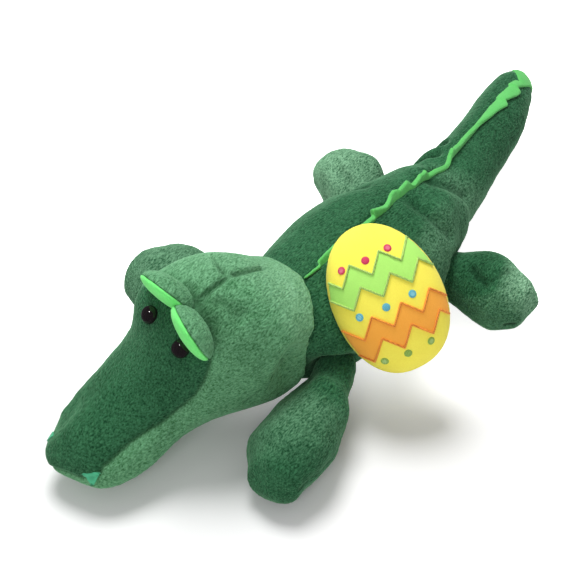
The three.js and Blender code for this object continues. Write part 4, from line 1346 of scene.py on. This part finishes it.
class CROCODILE_OT_crest(Operator):
    """Bright toothed strip sewn along the back and the tail, and the patch that caps the tail"""

    bl_idname = "crocodile.crest"
    bl_label = "Crest and tail tip"

    def execute(self, context):
        tree = tree_of("body_skin")
        half = context.scene.crocodile_sizes.crest_thickness / 2
        stations = []
        for a, b in zip(np.array(CREST[:-1]), np.array(CREST[1:])):
            count = max(1, round(abs(b[1] - a[1]) / 1.6))
            stations += [a + (b - a) * k / count for k in range(count)]
        made = bmesh.new()
        rings = []
        for foot_x, foot_y, edge_x, edge_y, height in (*stations, CREST[-1]):
            foot, out = self.skin(tree, foot_x, foot_y)
            edge = self.skin(tree, edge_x, edge_y)[0] + out * height * MM
            side = Vector((0, 1, 0)).cross((edge - foot).normalized()).normalized()
            narrow = half * (0.5 + 0.5 * smoothstep(-36, 20, foot_y))
            rings.append([
                made.verts.new(foot.lerp(edge, share) - out * sink * MM + side * across * narrow)
                for across, share, sink in CREST_RING
            ])
        for low, high in zip(rings[:-1], rings[1:]):
            for k in range(len(low)):
                j = (k + 1) % len(low)
                made.faces.new((low[k], low[j], high[j], high[k]))
        made.faces.new(rings[0])
        made.faces.new(rings[-1][::-1])
        bmesh.ops.recalc_face_normals(made, faces=made.faces)
        strip = built("crest_strip", made)
        subdivide(strip, 2)
        tufts(strip, 0.0003, 0.0016, "crest_pile")
        smooth_shading(strip)
        dress(strip, bright_felt())
        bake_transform(strip)
        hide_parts("spine_crest", "tail_crest")

        patch = new_object("tail_tip_cap", bpy.data.objects["body_skin"].data.copy())
        cut(patch, ((-8, 243.5, 57), (0.75, 0.66, 0), True), ((-3, 240, 57), (-1, 0.3, 0.35), True))
        put_points(patch.data, points(patch.data) + normals(patch.data) * 0.0009)
        finish_piece(patch, "tail", bright_felt(), "light_green_felt", "tail_tip_patch")
        return {"FINISHED"}

    @staticmethod
    def skin(tree, x, y):
        """The top of the skin at a place across and along"""
        place, out, _, _ = tree.ray_cast(Vector((x * MM, y * MM, 0.2)), -UP)
        if place is None:
            raise RuntimeError(f"the crest has nothing under it at {x}, {y}")
        return place, out


class CROCODILE_PT_panel(Panel):
    """Lists the pieces of the crocodile"""

    bl_idname = "CROCODILE_PT_panel"
    bl_label = "Plush Crocodile"
    bl_space_type = "VIEW_3D"
    bl_region_type = "UI"
    bl_category = "Plush Crocodile"

    def draw(self, context):
        layout = self.layout
        for settings in (context.scene.crocodile_sizes, context.scene.crocodile_colours):
            box = layout.box()
            for name in settings.__annotations__:
                box.prop(settings, name)
        for operator in OPERATORS:
            layout.operator(operator.bl_idname)


OPERATORS = (
    CROCODILE_OT_stage,
    CROCODILE_OT_body,
    CROCODILE_OT_legs,
    CROCODILE_OT_head,
    CROCODILE_OT_eyelids,
    CROCODILE_OT_eyes,
    CROCODILE_OT_nostrils,
    CROCODILE_OT_egg,
    CROCODILE_OT_bands,
    CROCODILE_OT_dots,
    CROCODILE_OT_crest,
)
CLASSES = (CrocodileSizes, CrocodileColours, *OPERATORS, CROCODILE_PT_panel)


def register():
    for made in CLASSES:
        bpy.utils.register_class(made)
    bpy.types.Scene.crocodile_sizes = PointerProperty(type=CrocodileSizes)
    bpy.types.Scene.crocodile_colours = PointerProperty(type=CrocodileColours)


def unregister():
    del bpy.types.Scene.crocodile_colours
    del bpy.types.Scene.crocodile_sizes
    for made in reversed(CLASSES):
        bpy.utils.unregister_class(made)


def main():
    register()
    bpy.ops.crocodile.stage()
    bpy.ops.crocodile.body()
    bpy.ops.crocodile.legs()
    bpy.ops.crocodile.head()
    bpy.ops.crocodile.eyelids()
    bpy.ops.crocodile.eyes()
    bpy.ops.crocodile.nostrils()
    bpy.ops.crocodile.egg()
    bpy.ops.crocodile.bands()
    bpy.ops.crocodile.dots()
    bpy.ops.crocodile.crest()


if __name__ == "__main__":
    main()
